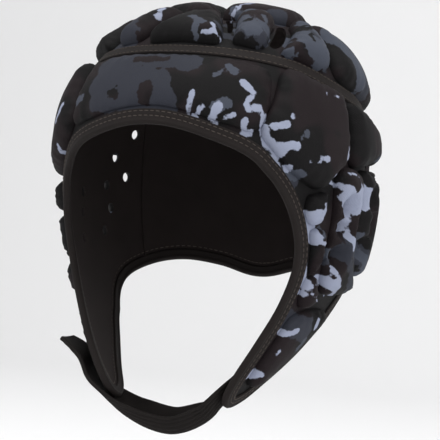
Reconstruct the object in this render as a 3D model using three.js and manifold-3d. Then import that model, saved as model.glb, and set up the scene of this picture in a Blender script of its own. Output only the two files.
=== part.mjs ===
import * as THREE from 'three';
import { mergeVertices } from 'three/addons/utils/BufferGeometryUtils.js';
import Module from 'manifold-3d';

// A padded rugby cap in millimetres. +Z is up, the face looks towards -Y, the wearer's left is +X.
// The origin is on the lining at the crown, where the head carries the cap.
// A place on the cap is an angle round the head, 0 at the face and 90 at the wearer's left ear,
// and a level: 0 at the crown point, 1 at the widest height and 2 at the chin.

const manifold = await Module();
manifold.setup();

// Head form: the inner face of the lining
const HALF_WIDTH = 81;
const FRONT_REACH = 104.5;
const BACK_REACH = 71;
const CROWN_DEPTH = 85;
const JAW_DEPTH = 135;
// Superellipse powers of the outline seen from above and of the three sides of the dome
const PLAN_POWER = 2.2;
const DROP_POWER = 2.2;
const SIDE_POWER = 2.97;
const FRONT_POWER = 1.75;
const BACK_POWER = 2.62;
// Share by which the chin is narrower, further forward and shorter behind than the widest level
const CHIN_NARROWER = 0.602;
const CHIN_FORWARD = 0.181;
const NAPE_FORWARD = 0.422;
const NARROWING_POWER = 2.2;
const FORWARD_POWER = 2;

// Layers and their clearance
const CLOTH = 2;
const SEAT = 0.3;
// Clearances over curved cloth, which its facets narrow to about SEAT: outside and on the lining
const COVER_SEAT = 0.55;
const LINING_SEAT = 0.95;
const PAD_EDGE = 1.6;
const CROWN_PAD = 9;
const TEMPLE_PAD = 9;
const EAR_PAD = 9;
const FOREHEAD_PAD = 5;
const STRIP_PAD = 6;
const JAW_PAD = 5.5;
const BACK_PAD = 8;

// Tapes, holes and chin strap
const BAND_WIDTH = 8;
const BAND_THICKNESS = 1.2;
const BINDING_WIDTH = 7;
const BINDING_INSIDE = 5;
const BINDING_THICKNESS = 1.2;
const HOLE_RADIUS = 3;
const STRAP_WIDTH = 29;
const STRAP_FRONT_SHARE = 0.42;
const STRAP_THICKNESS = 2.5;
const STRAP_DROP = 20;

// Edge of the face opening from the forehead down to the flap's tip
const FACE_EDGE = [
  { angle: 0, level: 0.852 },
  { angle: 22, level: 0.899 },
  { angle: 42, level: 0.987 },
  { angle: 55.1, level: 1.148 },
  { angle: 63.2, level: 1.36 },
  { angle: 63, level: 1.54 },
  { angle: 60.2, level: 1.71 },
  { angle: 59, level: 1.85 },
  { angle: 60.8, level: 1.93 },
  { angle: 65, level: 1.965 },
];

// Edge at the neck from past the flap's tip up to the middle of the nape
const NECK_EDGE = [
  { angle: 70.5, level: 1.942 },
  { angle: 76, level: 1.87 },
  { angle: 83.5, level: 1.763 },
  { angle: 92, level: 1.615 },
  { angle: 103, level: 1.515 },
  { angle: 124, level: 1.437 },
  { angle: 144, level: 1.407 },
  { angle: 162, level: 1.425 },
  { angle: 180, level: 1.466 },
];

// Middle line of the tape that rings the crown
const BAND_LINE = [
  { angle: 0, level: 0.5 },
  { angle: 33, level: 0.52 },
  { angle: 58, level: 0.566 },
  { angle: 79, level: 0.65 },
  { angle: 108, level: 0.758 },
  { angle: 145, level: 0.82 },
  { angle: 180, level: 0.835 },
];

// Pads of the left side, each with its outline as angle and level pairs. The right side mirrors them.
const SIDE_PADS = [
  { name: 'crown_top', rise: CROWN_PAD, steps: 16, polar: true,
    outline: [
      [14, 0.05], [10, 0.18], [40, 0.185], [90, 0.24], [140, 0.3], [172, 0.27], [167, 0.07],
    ] },
  { name: 'crown_side_front', rise: CROWN_PAD, steps: 15,
    outline: [
      [24, 0.2], [40, 0.205], [52, 0.215], [55, 0.25], [47, 0.36], [41.5, 0.465], [30, 0.462],
      [24.5, 0.44], [24.5, 0.33], [23, 0.26],
    ] },
  { name: 'crown_side', rise: CROWN_PAD, steps: 15,
    outline: [
      [69, 0.27], [80, 0.28], [80.5, 0.42], [77, 0.56], [72, 0.575], [60, 0.53], [50.5, 0.5],
      [55, 0.44], [64, 0.34],
    ] },
  { name: 'crown_side_rear', rise: CROWN_PAD, steps: 16,
    outline: [
      [85, 0.285], [105, 0.35], [124, 0.345], [127, 0.5], [125, 0.735], [104, 0.69], [83, 0.615],
      [81.5, 0.58], [84.5, 0.43],
    ] },
  { name: 'crown_rear', rise: CROWN_PAD, steps: 16,
    outline: [
      [131, 0.36], [154, 0.35], [176.5, 0.34], [177, 0.57], [177, 0.77], [154, 0.765],
      [129.5, 0.745], [130.5, 0.55],
    ] },
  { name: 'temple', rise: TEMPLE_PAD, steps: 20,
    outline: [
      [52, 0.606], [64, 0.638], [78, 0.703], [79.5, 0.83], [79, 0.955], [72.5, 1.015],
      [66.5, 1.068], [59.5, 1.045], [46, 0.935], [42, 0.875], [46, 0.74],
    ] },
  { name: 'side_rear', rise: TEMPLE_PAD, steps: 16,
    outline: [
      [82.5, 0.732], [100, 0.79], [118.5, 0.838], [120.5, 0.92], [114, 0.965], [96, 0.97],
      [83.5, 0.972], [82.5, 0.85],
    ] },
  { name: 'ear_front', rise: EAR_PAD, steps: 18,
    outline: [
      [75.5, 1], [86.5, 1], [87, 1.12], [86, 1.25], [91, 1.38], [99, 1.46], [89, 1.5],
      [78.5, 1.475], [75.8, 1.33], [75.8, 1.17], [75, 1.06],
    ] },
  { name: 'ear_rear', rise: EAR_PAD, steps: 18,
    outline: [
      [89.5, 1], [104, 1], [117, 1], [120, 1.15], [119, 1.3], [114.5, 1.392], [104, 1.427],
      [95, 1.375], [89.5, 1.25], [89.8, 1.12],
    ] },
  { name: 'strip_upper', rise: STRIP_PAD, steps: 12,
    outline: [
      [61.8, 1.1], [66, 1.085], [69.5, 1.08], [70, 1.14], [68.5, 1.2], [64.5, 1.212], [61.3, 1.16],
    ] },
  { name: 'strip_middle', rise: STRIP_PAD, steps: 12,
    outline: [
      [65.5, 1.24], [69.5, 1.225], [71.8, 1.24], [72.5, 1.3], [72.5, 1.37], [70, 1.41],
      [68.8, 1.37], [67.2, 1.3],
    ] },
  { name: 'strip_lower', rise: STRIP_PAD, steps: 12,
    outline: [[69.3, 1.432], [73, 1.42], [76, 1.485], [77, 1.522], [71, 1.55], [68.7, 1.5]] },
  { name: 'jaw', rise: JAW_PAD, steps: 18,
    outline: [
      [68.8, 1.594], [80, 1.558], [88, 1.58], [84.5, 1.66], [79, 1.755], [73.5, 1.835],
      [68.8, 1.875], [65.3, 1.862], [64.8, 1.8], [66.8, 1.68],
    ] },
  { name: 'back_upper', rise: BACK_PAD, steps: 16,
    outline: [
      [126, 0.872], [150, 0.892], [176.5, 0.906], [177, 1], [176.5, 1.1], [150, 1.1],
      [125, 1.088], [124.5, 0.98],
    ] },
  { name: 'nape', rise: BACK_PAD, steps: 16,
    outline: [
      [125, 1.142], [150, 1.154], [176.5, 1.154], [177, 1.26], [176.5, 1.377], [160, 1.352],
      [144, 1.334], [126, 1.358], [124, 1.25],
    ] },
];

// Front crown pad across the middle, with the outline of its left half
const FRONT_CROWN_OUTLINE = [
  [0, 0.225], [11, 0.225], [13.5, 0.28], [17, 0.36], [18.5, 0.42], [17.5, 0.452], [0, 0.447],
];

// Forehead pad: levels of its upper and lower edge at each angle of its left half
const FOREHEAD_ROWS = [
  { angle: 0, top: 0.545, bottom: 0.79 },
  { angle: 14, top: 0.548, bottom: 0.81 },
  { angle: 28, top: 0.56, bottom: 0.85 },
  { angle: 36, top: 0.577, bottom: 0.875 },
  { angle: 42, top: 0.62, bottom: 0.72 },
];

// Ear and vent holes of the left side, each a round hole through cloth and padding
const HOLES = [
  { angle: 116, level: 0.885 },
  { angle: 104, level: 0.98 },
  { angle: 112, level: 1.06 },
  { angle: 98, level: 1.1 },
  { angle: 101, level: 1.2 },
  { angle: 81, level: 1.132 },
  { angle: 80, level: 1.22 },
  { angle: 94.5, level: 1.3 },
  { angle: 79, level: 1.33 },
];

// Open vents of the left side between the crown pads
const VENTS = [
  [[13, 0.2], [18, 0.2], [21, 0.27], [22, 0.35], [20, 0.355], [17, 0.28]],
  [[58, 0.26], [65, 0.26], [60, 0.34], [52, 0.44], [47, 0.46], [45, 0.44], [51, 0.34]],
];

// Side seams between the cloth panels of the left side, from the crown seam down past the cloth's edge
const SIDE_SEAMS = [
  [
    { angle: 49, level: 0.53 },
    { angle: 44.5, level: 0.7 },
    { angle: 41, level: 0.84 },
    { angle: 39, level: 1.03 },
  ],
  [
    { angle: 121, level: 0.76 },
    { angle: 121.5, level: 0.95 },
    { angle: 121.5, level: 1.2 },
    { angle: 121.5, level: 1.5 },
  ],
];

// Chin strap, first inside the left flap, then hanging under the chin, then over the right flap's pad to
// its free end. An angle and a level name a place on a flap, and peel lifts the free end off it. Between
// the flaps across is a share of half the distance between their tips and drop a share of STRAP_DROP.
// turn leans the width round the head in degrees, cup is the share of the full trough, width of STRAP_WIDTH.
const STRAP_ROWS = [
  { angle: 67.5, level: 1.84, turn: 9, cup: 0.06, width: 0.5 },
  { angle: 67, level: 1.9, turn: 8, cup: 0.1, width: 0.68 },
  { across: 0.93, drop: 0.12, turn: 7, cup: 0.35, width: 0.9 },
  { across: 0.76, drop: 0.48, turn: 5, cup: 0.7, width: 1 },
  { across: 0.42, drop: 0.83, turn: 3, cup: 1, width: 1 },
  { across: 0.05, drop: 1, turn: 0, cup: 1, width: 1 },
  { across: -0.4, drop: 0.92, turn: -2, cup: 1, width: 1 },
  { across: -0.9, drop: 0.6, turn: -4, cup: 0.6, width: 1 },
  { across: -1.36, drop: 0.05, turn: -6, cup: 0.12, width: 1 },
  { angle: -66, level: 1.86, peel: 0.5, turn: -8, cup: 0.08, width: 1 },
  { angle: -66, level: 1.79, peel: 0.5, turn: -8, cup: 0.06, width: 1 },
  { angle: -66, level: 1.735, peel: 4, turn: -8, cup: 0.06, width: 0.95 },
  { angle: -66, level: 1.7, peel: 7.5, turn: -8, cup: 0.06, width: 0.6 },
];

const radians = THREE.MathUtils.degToRad;
const power = (value, exponent) => Math.sign(value) * Math.abs(value) ** exponent;

// Point of the head form at a place
function skin(angle, level) {
  const crown = Math.min(level, 1) * Math.PI / 2;
  const jaw = Math.max(level - 1, 0);
  const grow = (sidePower) => Math.sin(crown) ** (2 / sidePower);
  const halfWidth = HALF_WIDTH * grow(SIDE_POWER) * (1 - CHIN_NARROWER * jaw ** NARROWING_POWER);
  const front = FRONT_REACH * grow(FRONT_POWER) * (1 + CHIN_FORWARD * jaw ** FORWARD_POWER);
  const back = BACK_REACH * grow(BACK_POWER) * (1 - NAPE_FORWARD * jaw ** FORWARD_POWER);
  const across = power(Math.sin(radians(angle)), 2 / PLAN_POWER);
  const along = power(Math.cos(radians(angle)), 2 / PLAN_POWER);
  const fall = 1 - Math.cos(crown) ** (2 / DROP_POWER);
  return new THREE.Vector3(
    halfWidth * across,
    -(along > 0 ? front : back) * along,
    -CROWN_DEPTH * fall - JAW_DEPTH * jaw,
  );
}

// Unit vector that points out of the head form at a place
function outward(angle, level) {
  if (level < 1e-3) return new THREE.Vector3(0, 0, 1);
  const turn = 0.2;
  const drop = 0.002;
  const round = skin(angle + turn, level).sub(skin(angle - turn, level));
  const down = skin(angle, level + drop).sub(skin(angle, Math.max(level - drop, 1e-4)));
  return down.cross(round).normalize();
}

// Point at a height above the head form
function above(place, height) {
  const [angle, level] = place;
  return skin(angle, level).addScaledVector(outward(angle, level), height);
}

// Closed mesh from points and triangles, with equal points merged and flat triangles dropped
const MERGE_WITHIN = 1e-3;
function closedGeometry(points, triangles) {
  const raw = new THREE.BufferGeometry();
  raw.setAttribute('position', new THREE.Float32BufferAttribute(points.flatMap((p) => p.toArray()), 3));
  raw.setIndex(triangles.flat());
  const merged = mergeVertices(raw, MERGE_WITHIN);
  const index = merged.index.array;
  const kept = [];
  for (let i = 0; i < index.length; i += 3) {
    const [a, b, c] = [index[i], index[i + 1], index[i + 2]];
    if (a !== b && b !== c && c !== a) kept.push(a, b, c);
  }
  merged.setIndex(kept);
  return merged;
}

function toSolid(geometry) {
  return new manifold.Manifold(new manifold.Mesh({
    numProp: 3,
    vertProperties: new Float32Array(geometry.attributes.position.array),
    triVerts: new Uint32Array(geometry.index.array),
  }));
}

function toGeometry(solid) {
  const { numProp, vertProperties, triVerts } = solid.getMesh();
  const geometry = new THREE.BufferGeometry();
  const positions = [];
  for (let i = 0; i < vertProperties.length; i += numProp) positions.push(...vertProperties.slice(i, i + 3));
  geometry.setAttribute('position', new THREE.Float32BufferAttribute(positions, 3));
  geometry.setIndex(Array.from(triVerts));
  return geometry;
}

// Triangles between neighbouring rows of a grid whose rows each hold the same number of points
function gridTriangles(rows, columns, closed, first = 0, flip = false) {
  const triangles = [];
  const last = closed ? columns : columns - 1;
  for (let row = 0; row < rows - 1; row += 1) {
    for (let column = 0; column < last; column += 1) {
      const a = first + row * columns + column;
      const b = first + row * columns + (column + 1) % columns;
      const c = a + columns;
      const d = b + columns;
      triangles.push(flip ? [a, b, c] : [a, c, b], flip ? [b, d, c] : [b, c, d]);
    }
  }
  return triangles;
}

// Solid between two heights over a grid of places, whose rows run down and columns to the wearer's left.
// A height is one number or a function of row and column.
function slab(places, low, high, closed = false) {
  const rows = places.length;
  const columns = places[0].length;
  const surface = (height) => places.flatMap((row, i) => row.map((place, j) => (
    above(place, typeof height === 'number' ? height : height(i, j))
  )));
  const inner = surface(low);
  const outer = surface(high);
  const half = inner.length;
  const triangles = [
    ...gridTriangles(rows, columns, closed, half),
    ...gridTriangles(rows, columns, closed, 0, true),
  ];
  const wall = (a, b) => triangles.push([a, b, b + half], [a, b + half, a + half]);
  const last = closed ? columns : columns - 1;
  for (let column = 0; column < last; column += 1) {
    const next = (column + 1) % columns;
    wall(next, column);
    wall((rows - 1) * columns + column, (rows - 1) * columns + next);
  }
  if (!closed) {
    for (let row = 0; row < rows - 1; row += 1) {
      wall(row * columns, (row + 1) * columns);
      wall((row + 2) * columns - 1, (row + 1) * columns - 1);
    }
  }
  return closedGeometry([...inner, ...outer], triangles);
}

// Smooth line through table rows. Both ends run straight across the middle plane, as the mirrored half does.
const CHART = 60;
function smoothLine(rows, mirrorStart, mirrorEnd) {
  const spot = ({ angle, level }) => new THREE.Vector3(angle / CHART, level, 0);
  const points = rows.map(spot);
  const start = points[1].clone();
  const end = points.at(-2).clone();
  if (mirrorStart) start.x = 2 * points[0].x - start.x;
  else start.lerpVectors(points[1], points[0], 2);
  if (mirrorEnd) end.x = 2 * points.at(-1).x - end.x;
  else end.lerpVectors(points.at(-2), points.at(-1), 2);
  const curve = new THREE.CatmullRomCurve3([start, ...points, end], false, 'centripetal');
  const spans = rows.length + 1;
  return (share) => {
    const point = curve.getPoint((1 + share * (spans - 2)) / spans);
    return [point.x * CHART, point.y];
  };
}

// The same number of steps of equal length along a line on the head form
function evenPlaces(line, steps) {
  const fine = 400;
  const places = Array.from({ length: fine + 1 }, (_, i) => line(i / fine));
  const lengths = [0];
  for (let i = 1; i <= fine; i += 1) {
    lengths.push(lengths[i - 1] + skin(...places[i]).distanceTo(skin(...places[i - 1])));
  }
  const chosen = [];
  for (let step = 0; step <= steps; step += 1) {
    const wanted = lengths[fine] * step / steps;
    chosen.push(places[lengths.findIndex((length) => length >= wanted - 1e-6)]);
  }
  return chosen;
}

const mirrored = (places) => places.map(([angle, level]) => [360 - angle, level]);

// The cap's whole edge on the left side: the face edge to the flap's tip, then the neck edge
const edgeRows = [...FACE_EDGE, ...NECK_EDGE];
const edgeLine = smoothLine(edgeRows, true, true);
const tipShare = (FACE_EDGE.length - 1) / (edgeRows.length - 1);
const FACE_STEPS = 17;
const NECK_STEPS = 17;
const facePlaces = evenPlaces((share) => edgeLine(share * tipShare), FACE_STEPS);
const neckPlaces = evenPlaces((share) => edgeLine(tipShare + share * (1 - tipShare)), NECK_STEPS);

// Tools that cut the face opening and the space under the neck edge out of the full shell
const CUT_LOW = -4;
const CUT_HIGH = 6;
const BELOW_CHIN = 2.35;
function faceCutter() {
  const columns = 11;
  const narrowest = 0.5;
  const rows = facePlaces.map(([angle, level]) => {
    const half = Math.max(angle, narrowest);
    return Array.from({ length: columns }, (_, i) => [half * (2 * i / (columns - 1) - 1), level]);
  });
  rows.push(rows.at(-1).map(([angle]) => [angle, BELOW_CHIN]));
  return slab(rows, CUT_LOW, CUT_HIGH);
}

function neckCutter() {
  const halfTurn = 180 - neckPlaces[0][0];
  const wider = 2;
  const top = [...neckPlaces, ...mirrored(neckPlaces).reverse().slice(1)];
  const rows = [0, 0.34, 0.67, 1].map((share) => top.map(([angle, level]) => {
    const wide = 180 + (angle - 180) * (halfTurn + wider) / halfTurn;
    return [share === 0 ? angle : wide, level + (BELOW_CHIN - level) * share];
  }));
  return slab(rows, CUT_LOW, CUT_HIGH);
}

// Outline turned so that it runs counterclockwise as seen from outside, where angles run to the right
function counterclockwise(outline) {
  const area = outline.reduce((sum, [angle, level], i) => {
    const [nextAngle, nextLevel] = outline[(i + 1) % outline.length];
    return sum + angle * -nextLevel - nextAngle * -level;
  }, 0);
  return area > 0 ? outline : [...outline].reverse();
}

// Solid with a small outline that cuts through cloth and padding
function cutter(outline, low, high) {
  const places = counterclockwise(outline);
  const count = places.length;
  const middle = places.reduce((sum, [a, l]) => [sum[0] + a / count, sum[1] + l / count], [0, 0]);
  const points = [low, high].flatMap((height) => [...places, middle].map((place) => above(place, height)));
  const top = count + 1;
  const triangles = [];
  for (let i = 0; i < count; i += 1) {
    const next = (i + 1) % count;
    triangles.push([i, count, next], [top + i, top + next, top + count]);
    triangles.push([i, next, top + next], [i, top + next, top + i]);
  }
  return toSolid(closedGeometry(points, triangles));
}

// Millimetres to one level at a place
function levelLength(angle, level) {
  return skin(angle, level + 0.005).distanceTo(skin(angle, level - 0.005)) / 0.01;
}

// Round outline on the head form
function ring({ angle, level }, radius, sides) {
  const perDegree = skin(angle + 0.5, level).distanceTo(skin(angle - 0.5, level));
  const perLevel = levelLength(angle, level);
  return Array.from({ length: sides }, (_, i) => {
    const turn = 2 * Math.PI * i / sides;
    return [angle + radius * Math.sin(turn) / perDegree, level + radius * Math.cos(turn) / perLevel];
  });
}

const mirrorOutline = (outline) => outline.map(([angle, level]) => [-angle, level]);

const HOLE_SIDES = 5;
const CUT_BELOW = -4;
const CUT_ABOVE = 14;
const holeCutters = HOLES.flatMap((hole) => {
  const outline = ring(hole, HOLE_RADIUS, HOLE_SIDES);
  return [outline, mirrorOutline(outline)].map((side) => cutter(side, CUT_BELOW, CUT_ABOVE));
});
const ventCutters = VENTS.flatMap((outline) => (
  [outline, mirrorOutline(outline)].map((side) => cutter(side, CUT_BELOW, CUT_ABOVE))
));

// Outline points turned into a smooth closed loop of even steps. A polar chart suits an outline near the
// crown point, and a flat one suits all others.
const flatChart = {
  to: ([angle, level]) => new THREE.Vector3(angle / CHART, level, 0),
  from: (point) => [point.x * CHART, point.y],
};
const polarChart = {
  to: ([angle, level]) => new THREE.Vector3(
    level * Math.sin(radians(angle)),
    level * Math.cos(radians(angle)),
    0,
  ),
  from: (point) => [THREE.MathUtils.radToDeg(Math.atan2(point.x, point.y)), Math.hypot(point.x, point.y)],
};

function evenLoop(outline, chart, steps) {
  const curve = new THREE.CatmullRomCurve3(outline.map(chart.to), true, 'centripetal');
  const fine = 20 * steps;
  const spots = Array.from({ length: fine + 1 }, (_, i) => curve.getPoint(i / fine));
  const lengths = [0];
  const onSkin = spots.map((spot) => skin(...chart.from(spot)));
  for (let i = 1; i <= fine; i += 1) lengths.push(lengths[i - 1] + onSkin[i].distanceTo(onSkin[i - 1]));
  return Array.from({ length: steps }, (_, step) => {
    const wanted = lengths[fine] * step / steps;
    return spots[lengths.findIndex((length) => length >= wanted - 1e-6)];
  });
}

// Share of the way from a pad's middle to its outline, for the rings of its top and of its underside.
// A small pad's underside has only its outline.
const TOP_RINGS = [1, 0.9, 0.6];
const UNDER_RINGS = [0.6, 1];
const SMALL_PAD_STEPS = 14;
const UNDER_ARCH = 0.7;

// Pillow on the cloth: a rounded top over an underside that arches with the cloth
function padGeometry({ outline, rise, steps, polar }) {
  const chart = polar ? polarChart : flatChart;
  const loop = evenLoop(counterclockwise(outline), chart, steps);
  const middle = loop.reduce((sum, spot) => sum.add(spot), new THREE.Vector3()).divideScalar(steps);
  const base = CLOTH + COVER_SEAT;
  const underRings = steps > SMALL_PAD_STEPS ? UNDER_RINGS : [1];
  const topHeight = (share) => base + PAD_EDGE + (rise - PAD_EDGE) * Math.sqrt(1 - share ** 4);
  const underHeight = (share) => base + UNDER_ARCH * (1 - share ** 2);
  const ringPoints = (share, height) => loop.map((spot) => (
    above(chart.from(new THREE.Vector3().lerpVectors(middle, spot, share)), height)
  ));
  const points = [
    ...underRings.flatMap((share) => ringPoints(share, underHeight(share))),
    ...TOP_RINGS.flatMap((share) => ringPoints(share, topHeight(share))),
    above(chart.from(middle), underHeight(0)),
    above(chart.from(middle), topHeight(0)),
  ];
  const rings = TOP_RINGS.length + underRings.length;
  const triangles = gridTriangles(rings, steps, true, 0, true);
  const under = rings * steps;
  for (let i = 0; i < steps; i += 1) {
    const next = (i + 1) % steps;
    triangles.push([i, under, next], [(rings - 1) * steps + i, (rings - 1) * steps + next, under + 1]);
  }
  return closedGeometry(points, triangles);
}

// Long pad across the forehead: a grid of columns between its edges, rounded towards all four sides
function foreheadGeometry() {
  const right = FOREHEAD_ROWS.slice(1).reverse().map((row) => ({ ...row, angle: -row.angle }));
  const table = [...right, ...FOREHEAD_ROWS];
  const widest = FOREHEAD_ROWS.at(-1).angle;
  const sideColumns = 7;
  const columns = Array.from({ length: 2 * sideColumns + 1 }, (_, i) => {
    const angle = widest * (i / sideColumns - 1);
    const next = Math.max(table.findIndex((row) => row.angle >= angle - 1e-6), 1);
    const share = (angle - table[next - 1].angle) / (table[next].angle - table[next - 1].angle);
    const between = (key) => THREE.MathUtils.lerp(table[next - 1][key], table[next][key], share);
    return { angle, top: between('top'), bottom: between('bottom') };
  });
  const shares = [0, 0.12, 0.5, 0.88, 1];
  const base = CLOTH + COVER_SEAT;
  const places = shares.map((share) => (
    columns.map(({ angle, top, bottom }) => [angle, top + (bottom - top) * share])
  ));
  const crown = (row, column) => {
    const side = Math.abs(columns[column].angle) / widest;
    const fall = Math.abs(2 * shares[row] - 1);
    return base + PAD_EDGE + (FOREHEAD_PAD - PAD_EDGE) * Math.sqrt((1 - fall ** 4) * (1 - side ** 6));
  };
  const arch = (row, column) => {
    const edge = row === 0 || row === shares.length - 1 || column === 0 || column === columns.length - 1;
    return base + UNDER_ARCH * (edge ? 0.4 : 0.8);
  };
  return slab(places, arch, crown);
}

// Pad with the ear holes that reach it cut out
function pierced(geometry) {
  let solid = toSolid(geometry);
  for (const tool of holeCutters) {
    if (solid.intersect(tool).volume() > 0.01) solid = solid.subtract(tool);
  }
  return toGeometry(solid);
}

// Sweep of a section along a closed or open line. Each station holds the section's points in space.
function sweep(stations, closed) {
  const count = stations[0].length;
  const points = stations.flat();
  const triangles = gridTriangles(stations.length, count, true);
  if (closed) {
    const lastRow = (stations.length - 1) * count;
    for (let i = 0; i < count; i += 1) {
      const next = (i + 1) % count;
      triangles.push([lastRow + i, i, lastRow + next], [lastRow + next, i, next]);
    }
    return closedGeometry(points, triangles);
  }
  const last = points.length - count;
  for (const [a, b, c] of capTriangles(count)) {
    triangles.push([a, b, c], [last + a, last + c, last + b]);
  }
  return closedGeometry(points, triangles);
}

// Cap of a section that is two facing rows: the first half of its points runs out and the second runs back
function capTriangles(count) {
  const caps = [];
  for (let i = 0; i < count / 2 - 1; i += 1) {
    const far = count - 1 - i;
    caps.push([i, i + 1, far - 1], [i, far - 1, far]);
  }
  return caps;
}

// Stations of a section that follows a line of places. A section point is a distance from the line into
// the cloth, which lies to the left of the line as seen from outside, and a height.
function follow(places, section, closed) {
  const count = places.length;
  return places.map((place, i) => {
    const before = skin(...places[closed ? (i + count - 1) % count : Math.max(i - 1, 0)]);
    const after = skin(...places[closed ? (i + 1) % count : Math.min(i + 1, count - 1)]);
    const along = after.sub(before).normalize();
    const inward = outward(...place).cross(along).normalize();
    return section.map(([distance, height]) => above(place, height).addScaledVector(inward, distance));
  });
}

// Bindings: a tape folded round the cloth's edge, in a face and a neck length that meet at the flaps' tips
function bindingGeometries() {
  const outside = CLOTH + COVER_SEAT;
  const inside = -LINING_SEAT;
  const nose = SEAT + BINDING_THICKNESS;
  const section = [
    [BINDING_INSIDE, inside - BINDING_THICKNESS], [-nose, inside], [-nose, outside],
    [BINDING_WIDTH, outside + BINDING_THICKNESS], [BINDING_WIDTH, outside], [-SEAT, outside],
    [-SEAT, inside], [BINDING_INSIDE, inside],
  ];
  const left = [...facePlaces, ...neckPlaces.slice(1)];
  const loop = [...left, ...mirrored(left).reverse().slice(1, -1)];
  const stations = follow(loop, section, true);
  const tip = FACE_STEPS;
  const otherTip = loop.length - FACE_STEPS;
  const run = (from, to) => {
    const lengthOf = Array.from({ length: to - from + 1 }, (_, i) => stations[(from + i) % loop.length]);
    const draw = (end, next) => end.map((point, i) => (
      point.clone().addScaledVector(next[i].clone().sub(point).normalize(), SEAT / 2)
    ));
    lengthOf[0] = draw(lengthOf[0], lengthOf[1]);
    lengthOf[lengthOf.length - 1] = draw(lengthOf.at(-1), lengthOf.at(-2));
    return sweep(lengthOf, false);
  };
  return { face: run(otherTip, loop.length + tip), neck: run(tip, otherTip) };
}

// Level of the crown seam, which runs under the tape, at an angle from 0 to 360
const bandLine = smoothLine(BAND_LINE, true, true);
const bandSpots = Array.from({ length: 401 }, (_, i) => bandLine(i / 400));
function seamLevel(turn) {
  const angle = Math.min(turn, 360 - turn);
  const next = Math.max(bandSpots.findIndex((spot) => spot[0] >= angle - 1e-6), 1);
  const [before, after] = [bandSpots[next - 1], bandSpots[next]];
  return THREE.MathUtils.mapLinear(angle, before[0], after[0], before[1], after[1]);
}

// Tape round the crown
function bandGeometry() {
  const steps = 40;
  const half = evenPlaces(bandLine, steps / 2);
  const places = [...half, ...mirrored(half).reverse().slice(1, -1)];
  const low = CLOTH + COVER_SEAT;
  const high = low + BAND_THICKNESS;
  const side = BAND_WIDTH / 2;
  const section = [[-side, high], [side, high], [side, low], [-side, low]];
  return sweep(follow(places, section, true), true);
}

// Thin tools that part the cloth along its side seams
function seamCutters() {
  const steps = 6;
  const side = SEAT / 2;
  const section = [[-side, CUT_HIGH], [side, CUT_HIGH], [side, CUT_LOW], [-side, CUT_LOW]];
  return SIDE_SEAMS.flatMap((rows) => {
    const places = evenPlaces(smoothLine(rows, false, false), steps);
    return [places, mirrored(places)].map((line) => toSolid(sweep(follow(line, section, false), false)));
  });
}

// Cloth and lining: a hollow wall in five sewn panels. The crown, open at the vents, ends at its seam.
// The wall below, open at the face, the neck and the ear holes, is parted by the side seams.
const CLOTH_COLUMNS = 36;
const CROWN_ROWS = 5;
const SIDE_ROWS = 4;
const JAW_ROWS = 7;
const LOWEST = 2.08;
function buildPanels() {
  const columns = Array.from({ length: CLOTH_COLUMNS }, (_, i) => {
    const angle = 360 * i / CLOTH_COLUMNS;
    const seam = seamLevel(angle);
    const gap = SEAT / 2 / levelLength(angle, seam);
    return { angle, crownEnd: seam - gap, wallStart: seam + gap };
  });
  const rows = (count, levelAt) => Array.from({ length: count + 1 }, (_, i) => (
    columns.map((column) => [column.angle, levelAt(column, i / count)])
  ));
  const crownRows = rows(CROWN_ROWS, ({ crownEnd }, share) => crownEnd * share);
  const sideRows = rows(SIDE_ROWS, ({ wallStart }, share) => THREE.MathUtils.lerp(wallStart, 1, share));
  const jawRows = rows(JAW_ROWS, (column, share) => THREE.MathUtils.lerp(1, LOWEST, share));
  let crown = toSolid(slab(crownRows, 0, CLOTH, true));
  for (const tool of ventCutters) crown = crown.subtract(tool);
  let wall = toSolid(slab([...sideRows, ...jawRows.slice(1)], 0, CLOTH, true));
  const openings = [toSolid(faceCutter()), toSolid(neckCutter()), ...holeCutters];
  for (const tool of [...openings, ...seamCutters()]) wall = wall.subtract(tool);
  const panels = wall.decompose().map((solid) => ({ solid, box: solid.boundingBox() }));
  const furthest = (reach) => {
    const panel = panels.reduce((best, next) => (reach(next.box) > reach(best.box) ? next : best));
    return toGeometry(panel.solid);
  };
  return {
    cap_crown: toGeometry(crown),
    cap_front: furthest(({ min }) => -min[1]),
    cap_back: furthest(({ max }) => max[1]),
    cap_side_left: furthest(({ max }) => max[0]),
    cap_side_right: furthest(({ min }) => -min[0]),
  };
}

// Points across the strap: a trough whose walls stand up either side of its lowest line
const TROUGH_BEND = 7;
const TROUGH_WALL = 75;
function strapSection(cup, width) {
  const front = -STRAP_WIDTH * STRAP_FRONT_SHARE * width;
  const rear = STRAP_WIDTH * (1 - STRAP_FRONT_SHARE) * width;
  const fine = 12;
  const wallPoint = (reach) => {
    let across = 0;
    let rise = 0;
    let lean = 0;
    for (let i = 0; i < fine; i += 1) {
      const run = Math.abs(reach) * (i + 0.5) / fine;
      lean = radians(TROUGH_WALL) * cup * Math.min(run / TROUGH_BEND, 1);
      across += Math.cos(lean) * Math.abs(reach) / fine;
      rise += Math.sin(lean) * Math.abs(reach) / fine;
    }
    const side = Math.sign(reach);
    return { across: side * across, rise, leanOut: [side * Math.sin(lean), Math.cos(lean)] };
  };
  const wall = [front, front / 2, 0, rear * 0.4, rear].map(wallPoint);
  const half = STRAP_THICKNESS / 2;
  const face = (side) => wall.map(({ across, rise, leanOut }) => (
    [across + side * half * leanOut[0], -rise + side * half * leanOut[1]]
  ));
  return [...face(1), ...face(-1).reverse()];
}

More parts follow.
